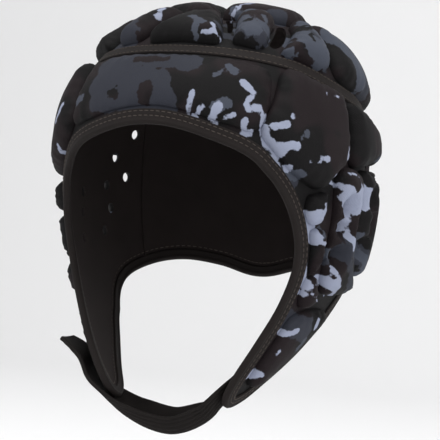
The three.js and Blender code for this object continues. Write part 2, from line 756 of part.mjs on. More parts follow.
// Chin strap: a trough swept from the left flap to the free end
function strapGeometry() {
  const tipRow = FACE_EDGE.at(-1);
  const tip = above([tipRow.angle, tipRow.level], -STRAP_THICKNESS);
  const onLining = -(LINING_SEAT + BINDING_THICKNESS + SEAT + STRAP_THICKNESS / 2);
  const onPad = CLOTH + COVER_SEAT + JAW_PAD + SEAT + STRAP_THICKNESS / 2;
  const centres = STRAP_ROWS.map((row) => {
    if (row.level === undefined) {
      return new THREE.Vector3(tip.x * row.across, tip.y, tip.z - STRAP_DROP * row.drop);
    }
    const height = row.peel === undefined ? onLining : onPad + row.peel;
    return above([row.angle, row.level], height);
  });
  const line = new THREE.CatmullRomCurve3(centres, false, 'centripetal');
  const steps = 18;
  const last = STRAP_ROWS.length - 1;
  const stations = Array.from({ length: steps + 1 }, (_, step) => {
    const share = step / steps;
    const row = Math.min(Math.floor(share * last), last - 1);
    const blend = share * last - row;
    const value = (key) => THREE.MathUtils.lerp(STRAP_ROWS[row][key], STRAP_ROWS[row + 1][key], blend);
    const centre = line.getPoint(share);
    const along = line.getTangent(share);
    const turn = radians(value('turn'));
    const rearward = new THREE.Vector3(Math.sin(turn), Math.cos(turn), 0);
    rearward.addScaledVector(along, -rearward.dot(along)).normalize();
    const away = new THREE.Vector3().crossVectors(along, rearward);
    return strapSection(value('cup'), value('width')).map(([across, out]) => (
      centre.clone().addScaledVector(rearward, across).addScaledVector(away, out)
    ));
  });
  return sweep(stations, false);
}

const cap = new THREE.Group();

// Colours of the printed cloth, the tape and the foam-backed strap
const PRINT_DARK = 0x232021;
const PRINT_MIDDLE = 0x3c3e46;
const PRINT_LIGHT = 0x575b66;
const TAPE = 0x2d2a29;
const STRAP = 0x262423;

function addPiece(name, geometry, color, roughness) {
  const material = new THREE.MeshStandardMaterial({ color, roughness, metalness: 0 });
  const mesh = new THREE.Mesh(geometry, material);
  mesh.name = name;
  cap.add(mesh);
}

const PRINT_ROUGHNESS = 0.85;
const TAPE_ROUGHNESS = 0.7;
for (const [name, geometry] of Object.entries(buildPanels())) {
  addPiece(name, geometry, PRINT_DARK, PRINT_ROUGHNESS);
}
SIDE_PADS.forEach((pad, i) => {
  const color = [PRINT_DARK, PRINT_MIDDLE, PRINT_LIGHT][i % 3];
  addPiece(`${pad.name}_left`, pierced(padGeometry(pad)), color, PRINT_ROUGHNESS);
  const right = { ...pad, outline: mirrorOutline(pad.outline) };
  addPiece(`${pad.name}_right`, pierced(padGeometry(right)), color, PRINT_ROUGHNESS);
});
const frontOutline = [...FRONT_CROWN_OUTLINE, ...mirrorOutline(FRONT_CROWN_OUTLINE).reverse().slice(1, -1)];
const crownFront = padGeometry({ outline: frontOutline, rise: CROWN_PAD, steps: 16 });
addPiece('crown_front', crownFront, PRINT_MIDDLE, PRINT_ROUGHNESS);
addPiece('forehead', foreheadGeometry(), PRINT_MIDDLE, PRINT_ROUGHNESS);
addPiece('crown_band', bandGeometry(), TAPE, TAPE_ROUGHNESS);
const bindings = bindingGeometries();
addPiece('face_binding', bindings.face, TAPE, TAPE_ROUGHNESS);
addPiece('neck_binding', bindings.neck, TAPE, TAPE_ROUGHNESS);
addPiece('chin_strap', strapGeometry(), STRAP, TAPE_ROUGHNESS);

export default cap;
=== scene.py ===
import math
import random

import bpy
import numpy as np
from mathutils import Matrix, Vector, noise
from mathutils.geometry import delaunay_2d_cdt


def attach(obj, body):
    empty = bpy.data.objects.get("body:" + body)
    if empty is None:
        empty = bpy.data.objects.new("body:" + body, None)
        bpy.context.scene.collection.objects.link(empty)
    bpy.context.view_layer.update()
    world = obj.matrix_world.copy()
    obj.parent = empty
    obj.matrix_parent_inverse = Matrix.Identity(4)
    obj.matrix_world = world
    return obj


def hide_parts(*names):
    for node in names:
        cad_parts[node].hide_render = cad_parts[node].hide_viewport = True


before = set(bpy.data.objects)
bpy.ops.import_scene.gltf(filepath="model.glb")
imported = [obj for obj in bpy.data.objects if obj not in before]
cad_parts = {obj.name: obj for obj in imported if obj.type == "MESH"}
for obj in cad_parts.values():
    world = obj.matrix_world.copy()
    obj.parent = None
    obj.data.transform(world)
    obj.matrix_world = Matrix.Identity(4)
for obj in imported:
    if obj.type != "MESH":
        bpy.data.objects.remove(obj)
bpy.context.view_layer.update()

# Looks of the padded rugby cap. Sizes here are millimetres and become metres as each mesh is made.
# A place is an angle round the head, 0 at the face and 90 at the wearer's left ear, and a level:
# 0 at the crown point, 1 at the widest height and 2 at the chin.

MM = 0.001

# Head form: the inner face of the lining, as the CAD model has it
HALF_WIDTH = 81
FRONT_REACH = 104.5
BACK_REACH = 71
CROWN_DEPTH = 85
JAW_DEPTH = 135
PLAN_POWER = 2.2
DROP_POWER = 2.2
SIDE_POWER = 2.97
FRONT_POWER = 1.75
BACK_POWER = 2.62
CHIN_NARROWER = 0.602
CHIN_FORWARD = 0.181
NAPE_FORWARD = 0.422
NARROWING_POWER = 2.2
FORWARD_POWER = 2

# Layers
LINING = 0.9
CLOTH = 2
PAD_SEAT = 0.06
CROWN_PAD = 9.4
TEMPLE_PAD = 9.4
EAR_PAD = 9.4
FOREHEAD_PAD = 4.4
STRIP_PAD = 6.4
JAW_PAD = 5.8
BACK_PAD = 8.4
PAD_BASE = CLOTH + PAD_SEAT

# Spacing of the points of the fine meshes
CLOTH_STEP = 2.4
PAD_STEP = 1.8
TAPE_STEP = 2.2

# Outlines as angle and level pairs. The right side mirrors the left one.
FACE_EDGE = [
    (0, 0.852), (22, 0.899), (42, 0.987), (55.1, 1.148), (63.2, 1.36), (63, 1.54), (60.2, 1.71), (59, 1.85),
    (60.8, 1.93), (65, 1.965),
]
NECK_EDGE = [
    (70.5, 1.942), (76, 1.87), (83.5, 1.763), (92, 1.615), (103, 1.515), (124, 1.437), (144, 1.407),
    (162, 1.425), (180, 1.466),
]
BAND_LINE = [(0, 0.5), (33, 0.52), (58, 0.566), (79, 0.65), (108, 0.758), (145, 0.82), (180, 0.835)]
PADS = {
    "crown_top": (CROWN_PAD, [
        (14, 0.05), (10, 0.18), (40, 0.185), (90, 0.24), (140, 0.3), (172, 0.27), (167, 0.07)]),
    "crown_side_front": (CROWN_PAD, [
        (24, 0.2), (40, 0.205), (52, 0.215), (55, 0.25), (47, 0.36), (41.5, 0.465), (30, 0.462),
        (24.5, 0.44), (24.5, 0.33), (23, 0.26)]),
    "crown_side": (CROWN_PAD, [
        (69, 0.27), (80, 0.28), (80.5, 0.42), (77, 0.56), (72, 0.575), (60, 0.53), (50.5, 0.5),
        (55, 0.44), (64, 0.34)]),
    "crown_side_rear": (CROWN_PAD, [
        (85, 0.285), (105, 0.35), (124, 0.345), (127, 0.5), (125, 0.735), (104, 0.69), (83, 0.615),
        (81.5, 0.58), (84.5, 0.43)]),
    "crown_rear": (CROWN_PAD, [
        (131, 0.36), (154, 0.35), (176.5, 0.34), (177, 0.57), (177, 0.77), (154, 0.765),
        (129.5, 0.745), (130.5, 0.55)]),
    "temple": (TEMPLE_PAD, [
        (50, 0.602), (64, 0.638), (78, 0.703), (79.5, 0.83), (79, 0.955), (72.5, 1.015),
        (66.5, 1.068), (59.5, 1.045), (45.5, 0.935), (41, 0.875), (45.4, 0.74)]),
    "side_rear": (TEMPLE_PAD, [
        (82.5, 0.732), (100, 0.79), (118.5, 0.838), (120.5, 0.92), (114, 0.965), (96, 0.97),
        (83.5, 0.972), (82.5, 0.85)]),
    "ear_front": (EAR_PAD, [
        (75.5, 1), (87.4, 1), (88.3, 1.12), (87.6, 1.25), (91.6, 1.37), (99, 1.46), (89, 1.5),
        (78.5, 1.475), (75.8, 1.33), (75.8, 1.17), (75, 1.06)]),
    "ear_rear": (EAR_PAD, [
        (89.5, 1), (104, 1), (117, 1), (120, 1.15), (119, 1.3), (114.5, 1.392), (104, 1.427),
        (95, 1.37), (89.2, 1.25), (89.4, 1.12)]),
    "strip_upper": (STRIP_PAD, [
        (61.8, 1.1), (66, 1.085), (69.5, 1.08), (70, 1.14), (68.5, 1.2), (64.5, 1.212), (61.3, 1.16)]),
    "strip_middle": (STRIP_PAD, [
        (65.5, 1.24), (69.5, 1.225), (71.8, 1.24), (72.5, 1.3), (72.5, 1.37), (70, 1.41),
        (68.8, 1.37), (67.2, 1.3)]),
    "strip_lower": (STRIP_PAD, [
        (69.3, 1.432), (73, 1.42), (76, 1.485), (77, 1.522), (71, 1.55), (68.7, 1.5)]),
    "jaw": (JAW_PAD, [
        (68.8, 1.594), (80, 1.558), (88, 1.58), (84.5, 1.66), (79, 1.755), (73.5, 1.835),
        (68.8, 1.875), (65.3, 1.862), (64.8, 1.8), (66.8, 1.68)]),
    "back_upper": (BACK_PAD, [
        (126, 0.872), (150, 0.892), (176.5, 0.906), (177, 1), (176.5, 1.1), (150, 1.1),
        (125, 1.088), (124.5, 0.98)]),
    "nape": (BACK_PAD, [
        (125, 1.142), (150, 1.154), (176.5, 1.154), (177, 1.26), (176.5, 1.377), (160, 1.352),
        (144, 1.334), (126, 1.358), (124, 1.25)]),
}
CROWN_FRONT = [(0, 0.225), (11, 0.225), (13.5, 0.28), (17, 0.36), (18.5, 0.42), (17.5, 0.452), (0, 0.447)]
FOREHEAD = [
    (0, 0.545), (14, 0.548), (28, 0.56), (36, 0.577), (43.5, 0.61), (44.4, 0.72), (40, 0.865), (28, 0.853),
    (14, 0.812), (0, 0.79),
]
HOLES = [
    (116, 0.885), (104, 0.98), (112, 1.06), (98, 1.1), (101, 1.2), (81, 1.132), (80, 1.22), (94.5, 1.3),
    (79, 1.33),
]
HOLE_RADIUS = 3
VENTS = [
    [(13, 0.2), (18, 0.2), (21, 0.27), (22, 0.35), (20, 0.355), (17, 0.28)],
    [(58, 0.26), (65, 0.26), (60, 0.34), (52, 0.44), (47, 0.46), (45, 0.44), (51, 0.34)],
]
CLOTH_PANELS = ("cap_crown", "cap_front", "cap_back", "cap_side_left", "cap_side_right")


# Head form


def power(value, exponent):
    return np.sign(value) * np.abs(value) ** exponent


def skin(places, height=0):
    """Points at a height above the head form, one row for each angle and level."""
    places = np.asarray(places, float)
    angle = np.radians(places[..., 0])
    level = places[..., 1]
    crown = np.minimum(level, 1) * np.pi / 2
    jaw = np.maximum(level - 1, 0)
    narrowing = 1 - CHIN_NARROWER * jaw ** NARROWING_POWER
    half_width = HALF_WIDTH * np.sin(crown) ** (2 / SIDE_POWER) * narrowing
    front = FRONT_REACH * np.sin(crown) ** (2 / FRONT_POWER) * (1 + CHIN_FORWARD * jaw ** FORWARD_POWER)
    back = BACK_REACH * np.sin(crown) ** (2 / BACK_POWER) * (1 - NAPE_FORWARD * jaw ** FORWARD_POWER)
    across = power(np.sin(angle), 2 / PLAN_POWER)
    along = power(np.cos(angle), 2 / PLAN_POWER)
    fall = 1 - np.abs(np.cos(crown)) ** (2 / DROP_POWER)
    points = np.stack([
        half_width * across,
        -np.where(along > 0, front, back) * along,
        -CROWN_DEPTH * fall - JAW_DEPTH * jaw,
    ], -1)
    if np.ndim(height) or height:
        points = points + outward(places) * np.asarray(height, float)[..., None]
    return points


def outward(places):
    """Unit vectors that point out of the head form."""
    places = np.asarray(places, float)
    turn = np.array([0.2, 0])
    drop = np.array([0, 0.002])
    above = places - drop
    above[..., 1] = np.maximum(above[..., 1], 1e-4)
    around = skin(places + turn) - skin(places - turn)
    down = skin(places + drop) - skin(above)
    normal = np.cross(down, around)
    normal[places[..., 1] < 1e-3] = (0, 0, 1)
    return normal / np.linalg.norm(normal, axis=-1, keepdims=True)


def mirror(places):
    return np.asarray(places, float) * (-1, 1)


# A chart of the head form that keeps angles: seen from above, rings of equal level grow outwards


def chart_radii():
    levels = np.concatenate([np.linspace(0.01, 0.2, 40), np.linspace(0.21, 2.4, 440)])
    angles = np.linspace(-180, 180, 361)
    rings = skin(np.stack(np.meshgrid(angles, levels), -1))
    around = np.linalg.norm(np.diff(rings, axis=1), axis=2).sum(1)
    down = np.linalg.norm(np.diff(rings, axis=0), axis=2).mean(1)
    growth = 2 * np.pi * down / ((around[1:] + around[:-1]) / 2)
    start = around[0] / (2 * np.pi)
    return levels, start * np.exp(np.concatenate([[0], np.cumsum(growth)]))


LEVELS, RADII = chart_radii()


def to_chart(places):
    places = np.asarray(places, float)
    level = places[..., 1]
    radius = np.where(level < LEVELS[0], level / LEVELS[0] * RADII[0], np.interp(level, LEVELS, RADII))
    angle = np.radians(places[..., 0])
    return np.stack([radius * np.sin(angle), -radius * np.cos(angle)], -1)


def from_chart(spots):
    spots = np.asarray(spots, float)
    radius = np.hypot(spots[..., 0], spots[..., 1])
    level = np.where(radius < RADII[0], radius / RADII[0] * LEVELS[0], np.interp(radius, RADII, LEVELS))
    angle = np.degrees(np.arctan2(spots[..., 0], -spots[..., 1]))
    return np.stack([angle, level], -1)


# Smooth lines


TINY = 1e-6


def hermite(spots, per_span):
    """Centripetal spline through spots. The first and the last spot only steer its ends."""
    spots = np.asarray(spots, float)
    share = np.arange(per_span)[:, None] / per_span
    spans = []
    for before, start, end, after in zip(spots, spots[1:], spots[2:], spots[3:]):
        ends = ((before, start), (start, end), (end, after))
        step = [max(np.linalg.norm(b - a) ** 0.5, TINY) for a, b in ends]
        leave = (start - before) / step[0] - (end - before) / (step[0] + step[1]) + (end - start) / step[1]
        arrive = (end - start) / step[1] - (after - start) / (step[1] + step[2]) + (after - end) / step[2]
        leave = leave * step[1]
        arrive = arrive * step[1]
        bend = -3 * start + 3 * end - 2 * leave - arrive
        twist = 2 * start - 2 * end + leave + arrive
        spans.append(start + leave * share + bend * share ** 2 + twist * share ** 3)
    return np.concatenate(spans + [spots[-2:-1]])


def resample(places, step, closed=False):
    """Places at an equal distance along a dense line of places on the head form."""
    places = np.asarray(places, float)
    if closed:
        places = np.concatenate([places, places[:1]])
    spots = skin(places)
    lengths = np.concatenate([[0], np.cumsum(np.linalg.norm(np.diff(spots, axis=0), axis=1))])
    count = max(int(round(lengths[-1] / step)), 8)
    wanted = np.linspace(0, lengths[-1], count + 1)
    line = np.stack([np.interp(wanted, lengths, places[:, i]) for i in range(2)], 1)
    return line[:-1] if closed else line


# Where lines are smoothed, this many degrees count as much as one level
DEGREES_PER_LEVEL = 60
LINE_SPAN = 40
LOOP_SPAN = 24


def open_line(rows):
    """Smooth line whose ends cross the middle plane squarely, as its mirrored half does."""
    spots = [np.array([angle / DEGREES_PER_LEVEL, level]) for angle, level in rows]
    first = np.array([2 * spots[0][0] - spots[1][0], spots[1][1]])
    last = np.array([2 * spots[-1][0] - spots[-2][0], spots[-2][1]])
    line = hermite([first, *spots, last], LINE_SPAN)
    return line * (DEGREES_PER_LEVEL, 1)


def closed_line(rows, step, polar=False):
    """Smooth closed loop of places, evenly spaced."""
    rows = np.asarray(rows, float)
    if polar:
        angle = np.radians(rows[:, 0])
        spots = np.stack([rows[:, 1] * np.sin(angle), rows[:, 1] * np.cos(angle)], 1)
    else:
        spots = rows / (DEGREES_PER_LEVEL, 1)
    line = hermite(np.concatenate([spots[-1:], spots, spots[:2]]), LOOP_SPAN)[:-1]
    if polar:
        angle = np.degrees(np.arctan2(line[:, 0], line[:, 1]))
        places = np.stack([angle, np.hypot(line[:, 0], line[:, 1])], 1)
    else:
        places = line * (DEGREES_PER_LEVEL, 1)
    return resample(places, step, closed=True)


def over_face(half):
    """Whole line from its left half, which starts on the middle plane in front."""
    return np.concatenate([mirror(half)[::-1], half[1:]])


def over_nape(half):
    """Whole line from its left half, which ends on the middle plane behind."""
    return np.concatenate([half, half[::-1][1:] * (-1, 1) + (360, 0)])


def mirrored_loop(half):
    """Whole loop from its left half, which runs from the middle plane in front to the one behind."""
    return over_nape(half)[:-1]


def ring(place, radius, sides):
    """Round loop of places on the head form."""
    place = np.asarray(place, float)
    turn = np.array([0.5, 0])
    drop = np.array([0, 0.005])
    per_degree = np.linalg.norm(skin(place + turn) - skin(place - turn)) / (2 * turn[0])
    per_level = np.linalg.norm(skin(place + drop) - skin(place - drop)) / (2 * drop[1])
    around = 2 * np.pi * np.arange(sides) / sides
    return place + np.stack([radius * np.sin(around) / per_degree, radius * np.cos(around) / per_level], 1)


EDGE = open_line(FACE_EDGE + NECK_EDGE)
TIP = LINE_SPAN * (len(FACE_EDGE) - 1)


# Meshes


LOWEST_LEVEL = 2.1
DENSE_LEVELS = 2400
DENSE_TURNS = 721
# Rows lie closer than the places along them, so that the triangles between come out even
ROW_SHARE = 0.87


def lattice(step):
    """Places spread evenly over the head form, row by row."""
    levels = np.linspace(0, LOWEST_LEVEL, DENSE_LEVELS)
    down = skin(np.stack([np.full(DENSE_LEVELS, 90.0), levels], 1))
    lengths = np.concatenate([[0], np.cumsum(np.linalg.norm(np.diff(down, axis=0), axis=1))])
    rows = [np.array([[0.0, 0.0]])]
    for i, length in enumerate(np.arange(step, lengths[-1], step * ROW_SHARE)):
        level = np.interp(length, lengths, levels)
        dense = np.stack([np.linspace(-180, 180, DENSE_TURNS), np.full(DENSE_TURNS, level)], 1)
        around = np.linalg.norm(np.diff(skin(dense), axis=0), axis=1)
        sums = np.concatenate([[0], np.cumsum(around)])
        count = max(int(sums[-1] / step), 6)
        wanted = (np.arange(count) + 0.5 * (i % 2) + 0.25) / count * sums[-1]
        rows.append(np.stack([np.interp(wanted, sums, dense[:, 0]), np.full(count, level)], 1))
    return np.concatenate(rows)


def inside(spots, loop):
    """Says which chart spots lie within a closed loop."""
    x, y = spots[:, 0:1], spots[:, 1:2]
    ax, ay = loop[:, 0], loop[:, 1]
    bx, by = np.roll(ax, -1), np.roll(ay, -1)
    straddles = (ay > y) != (by > y)
    with np.errstate(divide="ignore", invalid="ignore"):
        crossing = (bx - ax) * (y - ay) / (by - ay) + ax
    return (straddles & (x < crossing)).sum(1) % 2 == 1


BATCH = 4000


def distances(points, loop_points, closed=True):
    """Distance from each point to a line in space, and how far along that line its nearest point is."""
    a = np.asarray(loop_points)
    b = np.roll(a, -1, axis=0)
    if not closed:
        a, b = a[:-1], b[:-1]
    along = b - a
    squares = np.maximum((along ** 2).sum(1), 1e-12)
    starts = np.concatenate([[0], np.cumsum(np.sqrt(squares))])[:-1]
    best = np.full(len(points), 1e9)
    reach = np.zeros(len(points))
    for first in range(0, len(points), BATCH):
        part = points[first:first + BATCH]
        offset = part[:, None] - a[None]
        share = np.clip((offset * along).sum(2) / squares, 0, 1)
        gap = np.linalg.norm(offset - share[..., None] * along, axis=2)
        nearest = gap.argmin(1)
        rows = np.arange(len(part))
        best[first:first + BATCH] = gap[rows, nearest]
        reach[first:first + BATCH] = (starts + share * np.sqrt(squares))[rows, nearest]
    return best, reach


def triangulate(loops, free):
    """Places and triangles that fill the first loop of places around the others."""
    charts = [to_chart(loop) for loop in loops]
    spots = np.concatenate(charts + [to_chart(free)])
    edges = []
    first = 0
    for chart in charts:
        count = len(chart)
        edges += [(first + i, first + (i + 1) % count) for i in range(count)]
        first += count
    verts, _, faces, *_ = delaunay_2d_cdt([Vector(spot) for spot in spots], edges, [], 0, 1e-5, False)
    verts = np.array([tuple(v) for v in verts])
    faces = np.array(faces)
    centres = verts[faces].mean(1)
    keep = inside(centres, charts[0])
    for chart in charts[1:]:
        keep &= ~inside(centres, chart)
    faces = faces[keep]
    used = np.unique(faces)
    renumber = np.full(len(verts), -1)
    renumber[used] = np.arange(len(used))
    corners = verts[faces]
    flat = np.cross(corners[:, 1] - corners[:, 0], corners[:, 2] - corners[:, 0]) < 0
    faces[flat] = faces[flat][:, ::-1]
    return from_chart(verts[used]), renumber[faces]


def rim_edges(faces):
    """Edges with one triangle, each in its triangle's direction."""
    edges = np.concatenate([faces[:, [0, 1]], faces[:, [1, 2]], faces[:, [2, 0]]])
    key = np.sort(edges, 1)
    _, inverse, counts = np.unique(key, axis=0, return_inverse=True, return_counts=True)
    return edges[counts[inverse.ravel()] == 1]


def closed_slab(places, faces, low, high):
    """Points and faces of a closed body between two heights over a triangulated patch of places."""
    count = len(places)
    points = np.concatenate([skin(places, high), skin(places, low)])
    rim = rim_edges(faces)
    walls = np.stack([rim[:, 1], rim[:, 0], rim[:, 0] + count, rim[:, 1] + count], 1)
    polygons = faces.tolist() + (faces[:, ::-1] + count).tolist() + walls.tolist()
    return points, polygons


def make(name, points, polygons, smooth_angle=50):
    """Blender object from points in millimetres."""
    mesh = bpy.data.meshes.new(name)
    mesh.from_pydata((np.asarray(points) * MM).tolist(), [], polygons)
    mesh.polygons.foreach_set("use_smooth", [True] * len(mesh.polygons))
    mesh.update()
    mesh.set_sharp_from_angle(angle=math.radians(smooth_angle))
    piece = bpy.data.objects.new(name, mesh)
    bpy.context.collection.objects.link(piece)
    return piece


def attribute(piece, name, values):
    layer = piece.data.attributes.new(name, "FLOAT", "POINT")
    layer.data.foreach_set("value", np.asarray(values, np.float32))


def sweep(stations, closed):
    """Faces of a section swept along stations, all with the same number of points round them."""
    rows, count = len(stations), len(stations[0])
    polygons = []
    for row in range(rows if closed else rows - 1):
        after = (row + 1) % rows
        for i in range(count):
            j = (i + 1) % count
            polygons.append([row * count + i, after * count + i, after * count + j, row * count + j])
    if not closed:
        polygons.append(list(range(count)))
        polygons.append([(rows - 1) * count + i for i in reversed(range(count))])
    return np.concatenate(stations), polygons


# Camera, fitted to the photograph


CAMERA_AZIMUTH = 23.27
CAMERA_ELEVATION = 1.09
CAMERA_ROLL = -2.865
CAMERA_DISTANCE = 1.2536
CAMERA_TARGET = (0, 0, -0.12)
IMAGE_SIZE = 440
PIXELS_PER_METRE = 1720
TARGET_PIXEL = (219.6, 228.38)
SENSOR = 36


def camera_axes():
    """Unit vectors to the right, up and towards the camera, as the photograph shows them."""
    azimuth, elevation = math.radians(CAMERA_AZIMUTH), math.radians(CAMERA_ELEVATION)
    roll = math.radians(CAMERA_ROLL)
    away = Vector((math.sin(azimuth) * math.cos(elevation), -math.cos(azimuth) * math.cos(elevation),
                   math.sin(elevation)))
    right = Vector((math.cos(azimuth), math.sin(azimuth), 0))
    up = away.cross(right)
    turned_right = right * math.cos(roll) - up * math.sin(roll)
    turned_up = right * math.sin(roll) + up * math.cos(roll)
    return turned_right, turned_up, away


# Printed camouflage: signed distances to its patches, in millimetres and positive inside


FAR_OUTSIDE = -1000.0


def capsules(points, rows):
    """Distance into the nearest of many short strokes. A row is two places, and a radius."""
    field = np.full(len(points), FAR_OUTSIDE)
    for start, end, radius in rows:
        a, b = skin(start), skin(end)
        along = b - a
        share = np.clip(((points - a) @ along) / max(along @ along, 1e-9), 0, 1)
        gap = np.linalg.norm(points - a - share[:, None] * along, axis=1)
        field = np.maximum(field, radius - gap)
    return field


PRINT_FALL = 230
MM_PER_DEGREE = 1.4
MM_PER_LEVEL = 130


def scatter(seed, count, radius, length, upright):
    """Strokes spread over the cap by chance."""
    chance = random.Random(seed)
    rows = []
    while len(rows) < count:
        height = chance.uniform(-PRINT_FALL, 0)
        if height < -CROWN_DEPTH:
            level = 1 - height / JAW_DEPTH - CROWN_DEPTH / JAW_DEPTH
        else:
            level = math.acos((1 + height / CROWN_DEPTH) ** (DROP_POWER / 2)) / (math.pi / 2)
        angle = chance.uniform(-180, 180)
        size = chance.uniform(*radius)
        reach = chance.uniform(*length)
        lean = chance.gauss(0, 1 - upright) * math.pi / 2
        place = np.array([angle, level])
        end = place + (reach * math.sin(lean) / MM_PER_DEGREE, reach * math.cos(lean) / MM_PER_LEVEL)
        rows.append((tuple(place), tuple(end), size))
    return rows


# Print strokes of the near side, in two tables. A seen row is noted in the photograph's pixels: x and
# y of its start, x and y of its end, and a radius. A placed row holds angle and level of its start, angle and
# level of its end, and a radius in millimetres. Most placed rows began as places that a separate helper
# worked out from such pixels, and were then changed by hand. The others were put on the cap one by one.
SEEN = {
    "slate": [
        (345, 250, 348, 290, 6), (220, 20, 232, 26, 6), (330, 255, 336, 262, 5),
    ],
    "haze": [
        (216, 104, 226, 98, 6), (216, 70, 224, 66, 2.5), (230, 62, 238, 66, 4), (302, 138, 306, 130, 1.5),
        (326, 240, 330, 232, 3), (294, 172, 306, 176, 5), (300, 352, 309, 342, 3),
        (260, 372, 266, 364, 2.5), (70, 98, 76, 96, 4), (336, 255, 338, 262, 4),
    ],
    "fleck": [
        (191, 88, 186, 108, 2.2), (203, 100, 194, 112, 2.2), (218, 102, 214, 112, 4),
        (226, 114, 236, 111, 1.8), (214, 119, 219, 119, 2), (246, 79, 254, 88, 3.5),
        (254, 90, 249, 97, 2.5), (250, 100, 251, 107, 3), (256, 104, 263, 104, 3.5),
        (248, 116, 248, 134, 2.5), (249, 131, 256, 131, 3), (268, 110, 268, 117, 2),
        (268, 122, 272, 140, 2.8), (276, 126, 285, 124, 3), (273, 140, 285, 152, 4),
        (286, 146, 295, 144, 3.5), (272, 149, 276, 147, 1.5), (282, 155, 287, 170, 3.5),
        (294, 170, 297, 166, 3), (312, 162, 320, 161, 1.3), (321, 158, 327, 160, 2.5),
        (292, 114, 293, 115, 2), (327, 92, 328, 97, 1), (331, 95, 339, 97, 1.2), (349, 147, 349, 160, 1.5),
        (349, 158, 356, 153, 1.3), (346, 187, 352, 190, 2.5), (352, 190, 356, 200, 3.2),
        (322, 245, 327, 243, 2), (336, 270, 338, 285, 2.5), (330, 283, 337, 288, 5),
        (337, 290, 336, 300, 3), (322, 286, 330, 284, 2), (309, 297, 312, 296, 1.5),
        (316, 294, 318, 298, 1.8), (319, 300, 323, 305, 1.2), (318, 329, 322, 321, 2.5),
        (279, 358, 284, 353, 2),
    ],
    "hollow": [
        (352, 202, 354, 210, 1.8),
    ],
}
PLACED = {
    "slate": [
        (-27, 0.62, 9, 0.6, 7.5), (-25, 0.71, 0, 0.71, 9), (-22, 0.78, 4, 0.78, 7), (-2, 0.8, 6, 0.8, 4),
        (66, 1.6, 76, 1.63, 7), (84, 1.28, 108, 1.36, 6), (28, 0.4, 38, 0.43, 6), (54, 1.06, 56, 1.04, 2.3),
        (17, 0.27, 70, 0.2, 4), (98, 0.5, 104, 0.66, 6), (72, 0.42, 76, 0.54, 4), (112, 1.1, 114, 1.25, 4),
    ],
    "haze": [
        (0, 0.35, 8, 0.4, 2), (4, 0.4, 6, 0.44, 1.5), (27, 0.33, 34, 0.42, 5.2), (40, 0.33, 42, 0.4, 3.5),
        (18, 0.17, 30, 0.2, 2.3), (30, 0.25, 46, 0.24, 2.4), (60, 0.42, 70, 0.52, 7),
        (74, 0.32, 76, 0.5, 4), (52, 0.5, 56, 0.52, 1.7), (90, 0.4, 96, 0.62, 5.8),
        (90, 1.26, 108, 1.4, 3.5), (96, 1.42, 108, 1.4, 2.5),
    ],
    "fleck": [
        (-28, 0.32, -36, 0.24, 1.4), (-10, 0.32, -12, 0.23, 1.1), (9, 0.44, 18, 0.44, 0.8),
        (13, 0.4, 15, 0.43, 1.5), (16, 0.2, 50, 0.09, 1.2), (71, 1.01, 75, 1.05, 1.6),
        (77, 1.09, 81, 1.2, 2.6), (81, 1.2, 84, 1.29, 2), (77, 1.07, 83, 1.12, 2.2),
        (82, 1.15, 86, 1.12, 3), (84, 1.09, 91, 1.11, 4.8), (88, 1.03, 92, 1.12, 2.4),
        (85, 1.07, 92, 1.07, 2.4), (82, 1, 84, 1.05, 0.7), (78, 1, 82, 1, 0.6), (61, 1.17, 65, 1.16, 2),
        (67, 1.13, 67, 1.18, 1.4), (62, 1.18, 65, 1.26, 3.2), (65, 1.18, 67, 1.26, 2.8),
        (64, 1.3, 65, 1.32, 1.2), (67, 1.38, 69, 1.45, 2.6), (67, 1.65, 72, 1.63, 1.7),
        (63, 1.84, 66, 1.81, 1.7),
    ],
    "hollow": [
        (-12, 0.6, 0, 0.59, 2.3), (-3, 0.73, -2, 0.77, 3.5), (-16, 0.75, -15, 0.76, 2.9),
        (58, 0.43, 56, 0.49, 1), (60, 0.5, 62, 0.53, 1.4), (67, 0.43, 66, 0.47, 0.9),
        (83, 1.22, 84, 1.25, 1.2), (36, 0.31, 40, 0.35, 1.7), (19, 0.42, 23, 0.43, 2.2),
        (88, 1.22, 88, 1.26, 1), (81, 1.36, 85, 1.4, 1.7), (63, 1.27, 64, 1.28, 2),
        (72, 0.36, 77, 0.4, 1.5), (30, 0.36, 34, 0.35, 1.4),
    ],
}
# Strokes spread by chance over the rest: seed, count, radii, lengths and how upright they run
SPREAD = {
    "slate": (3, 60, (4, 9), (4, 22), 0.3),
    "haze": (11, 70, (2, 5), (3, 14), 0.4),
    "fleck": (29, 130, (0.8, 2.6), (1, 10), 0.6),
    "hollow": (41, 80, (2, 5), (1, 8), 0.4),
}
SEEN_ANGLES = (-42, 112)
CROWN_SEEN = 0.35
# Seen rows lie at a height over the head form, which is searched in steps of an angle and a level. The place
# under a pixel is within a reach in pixels of it and within a depth in metres of the foremost one there.
SEEN_HEIGHT = 10
SEEN_TURN = 0.5
SEEN_FALL = 0.004
SEEN_TOP = 0.02
SEEN_REACH = 1.2
SEEN_DEPTH = 0.003


def form_in_photo():
    """Places all over the cap, their pixels in the photograph and how near they are to its camera."""
    turns = np.arange(-180, 180, SEEN_TURN)
    angles, levels = np.meshgrid(turns, np.arange(SEEN_TOP, LOWEST_LEVEL, SEEN_FALL))
    places = np.stack([angles.ravel(), levels.ravel()], 1)
    offset = skin(places, SEEN_HEIGHT) * MM - CAMERA_TARGET
    right, up, away = np.array(camera_axes())
    near = offset @ away
    scale = PIXELS_PER_METRE * CAMERA_DISTANCE / (CAMERA_DISTANCE - near)
    across, down = TARGET_PIXEL
    return places, np.stack([across + offset @ right * scale, down - offset @ up * scale], 1), near


FORM_PLACES, FORM_PIXELS, FORM_NEAR = form_in_photo()


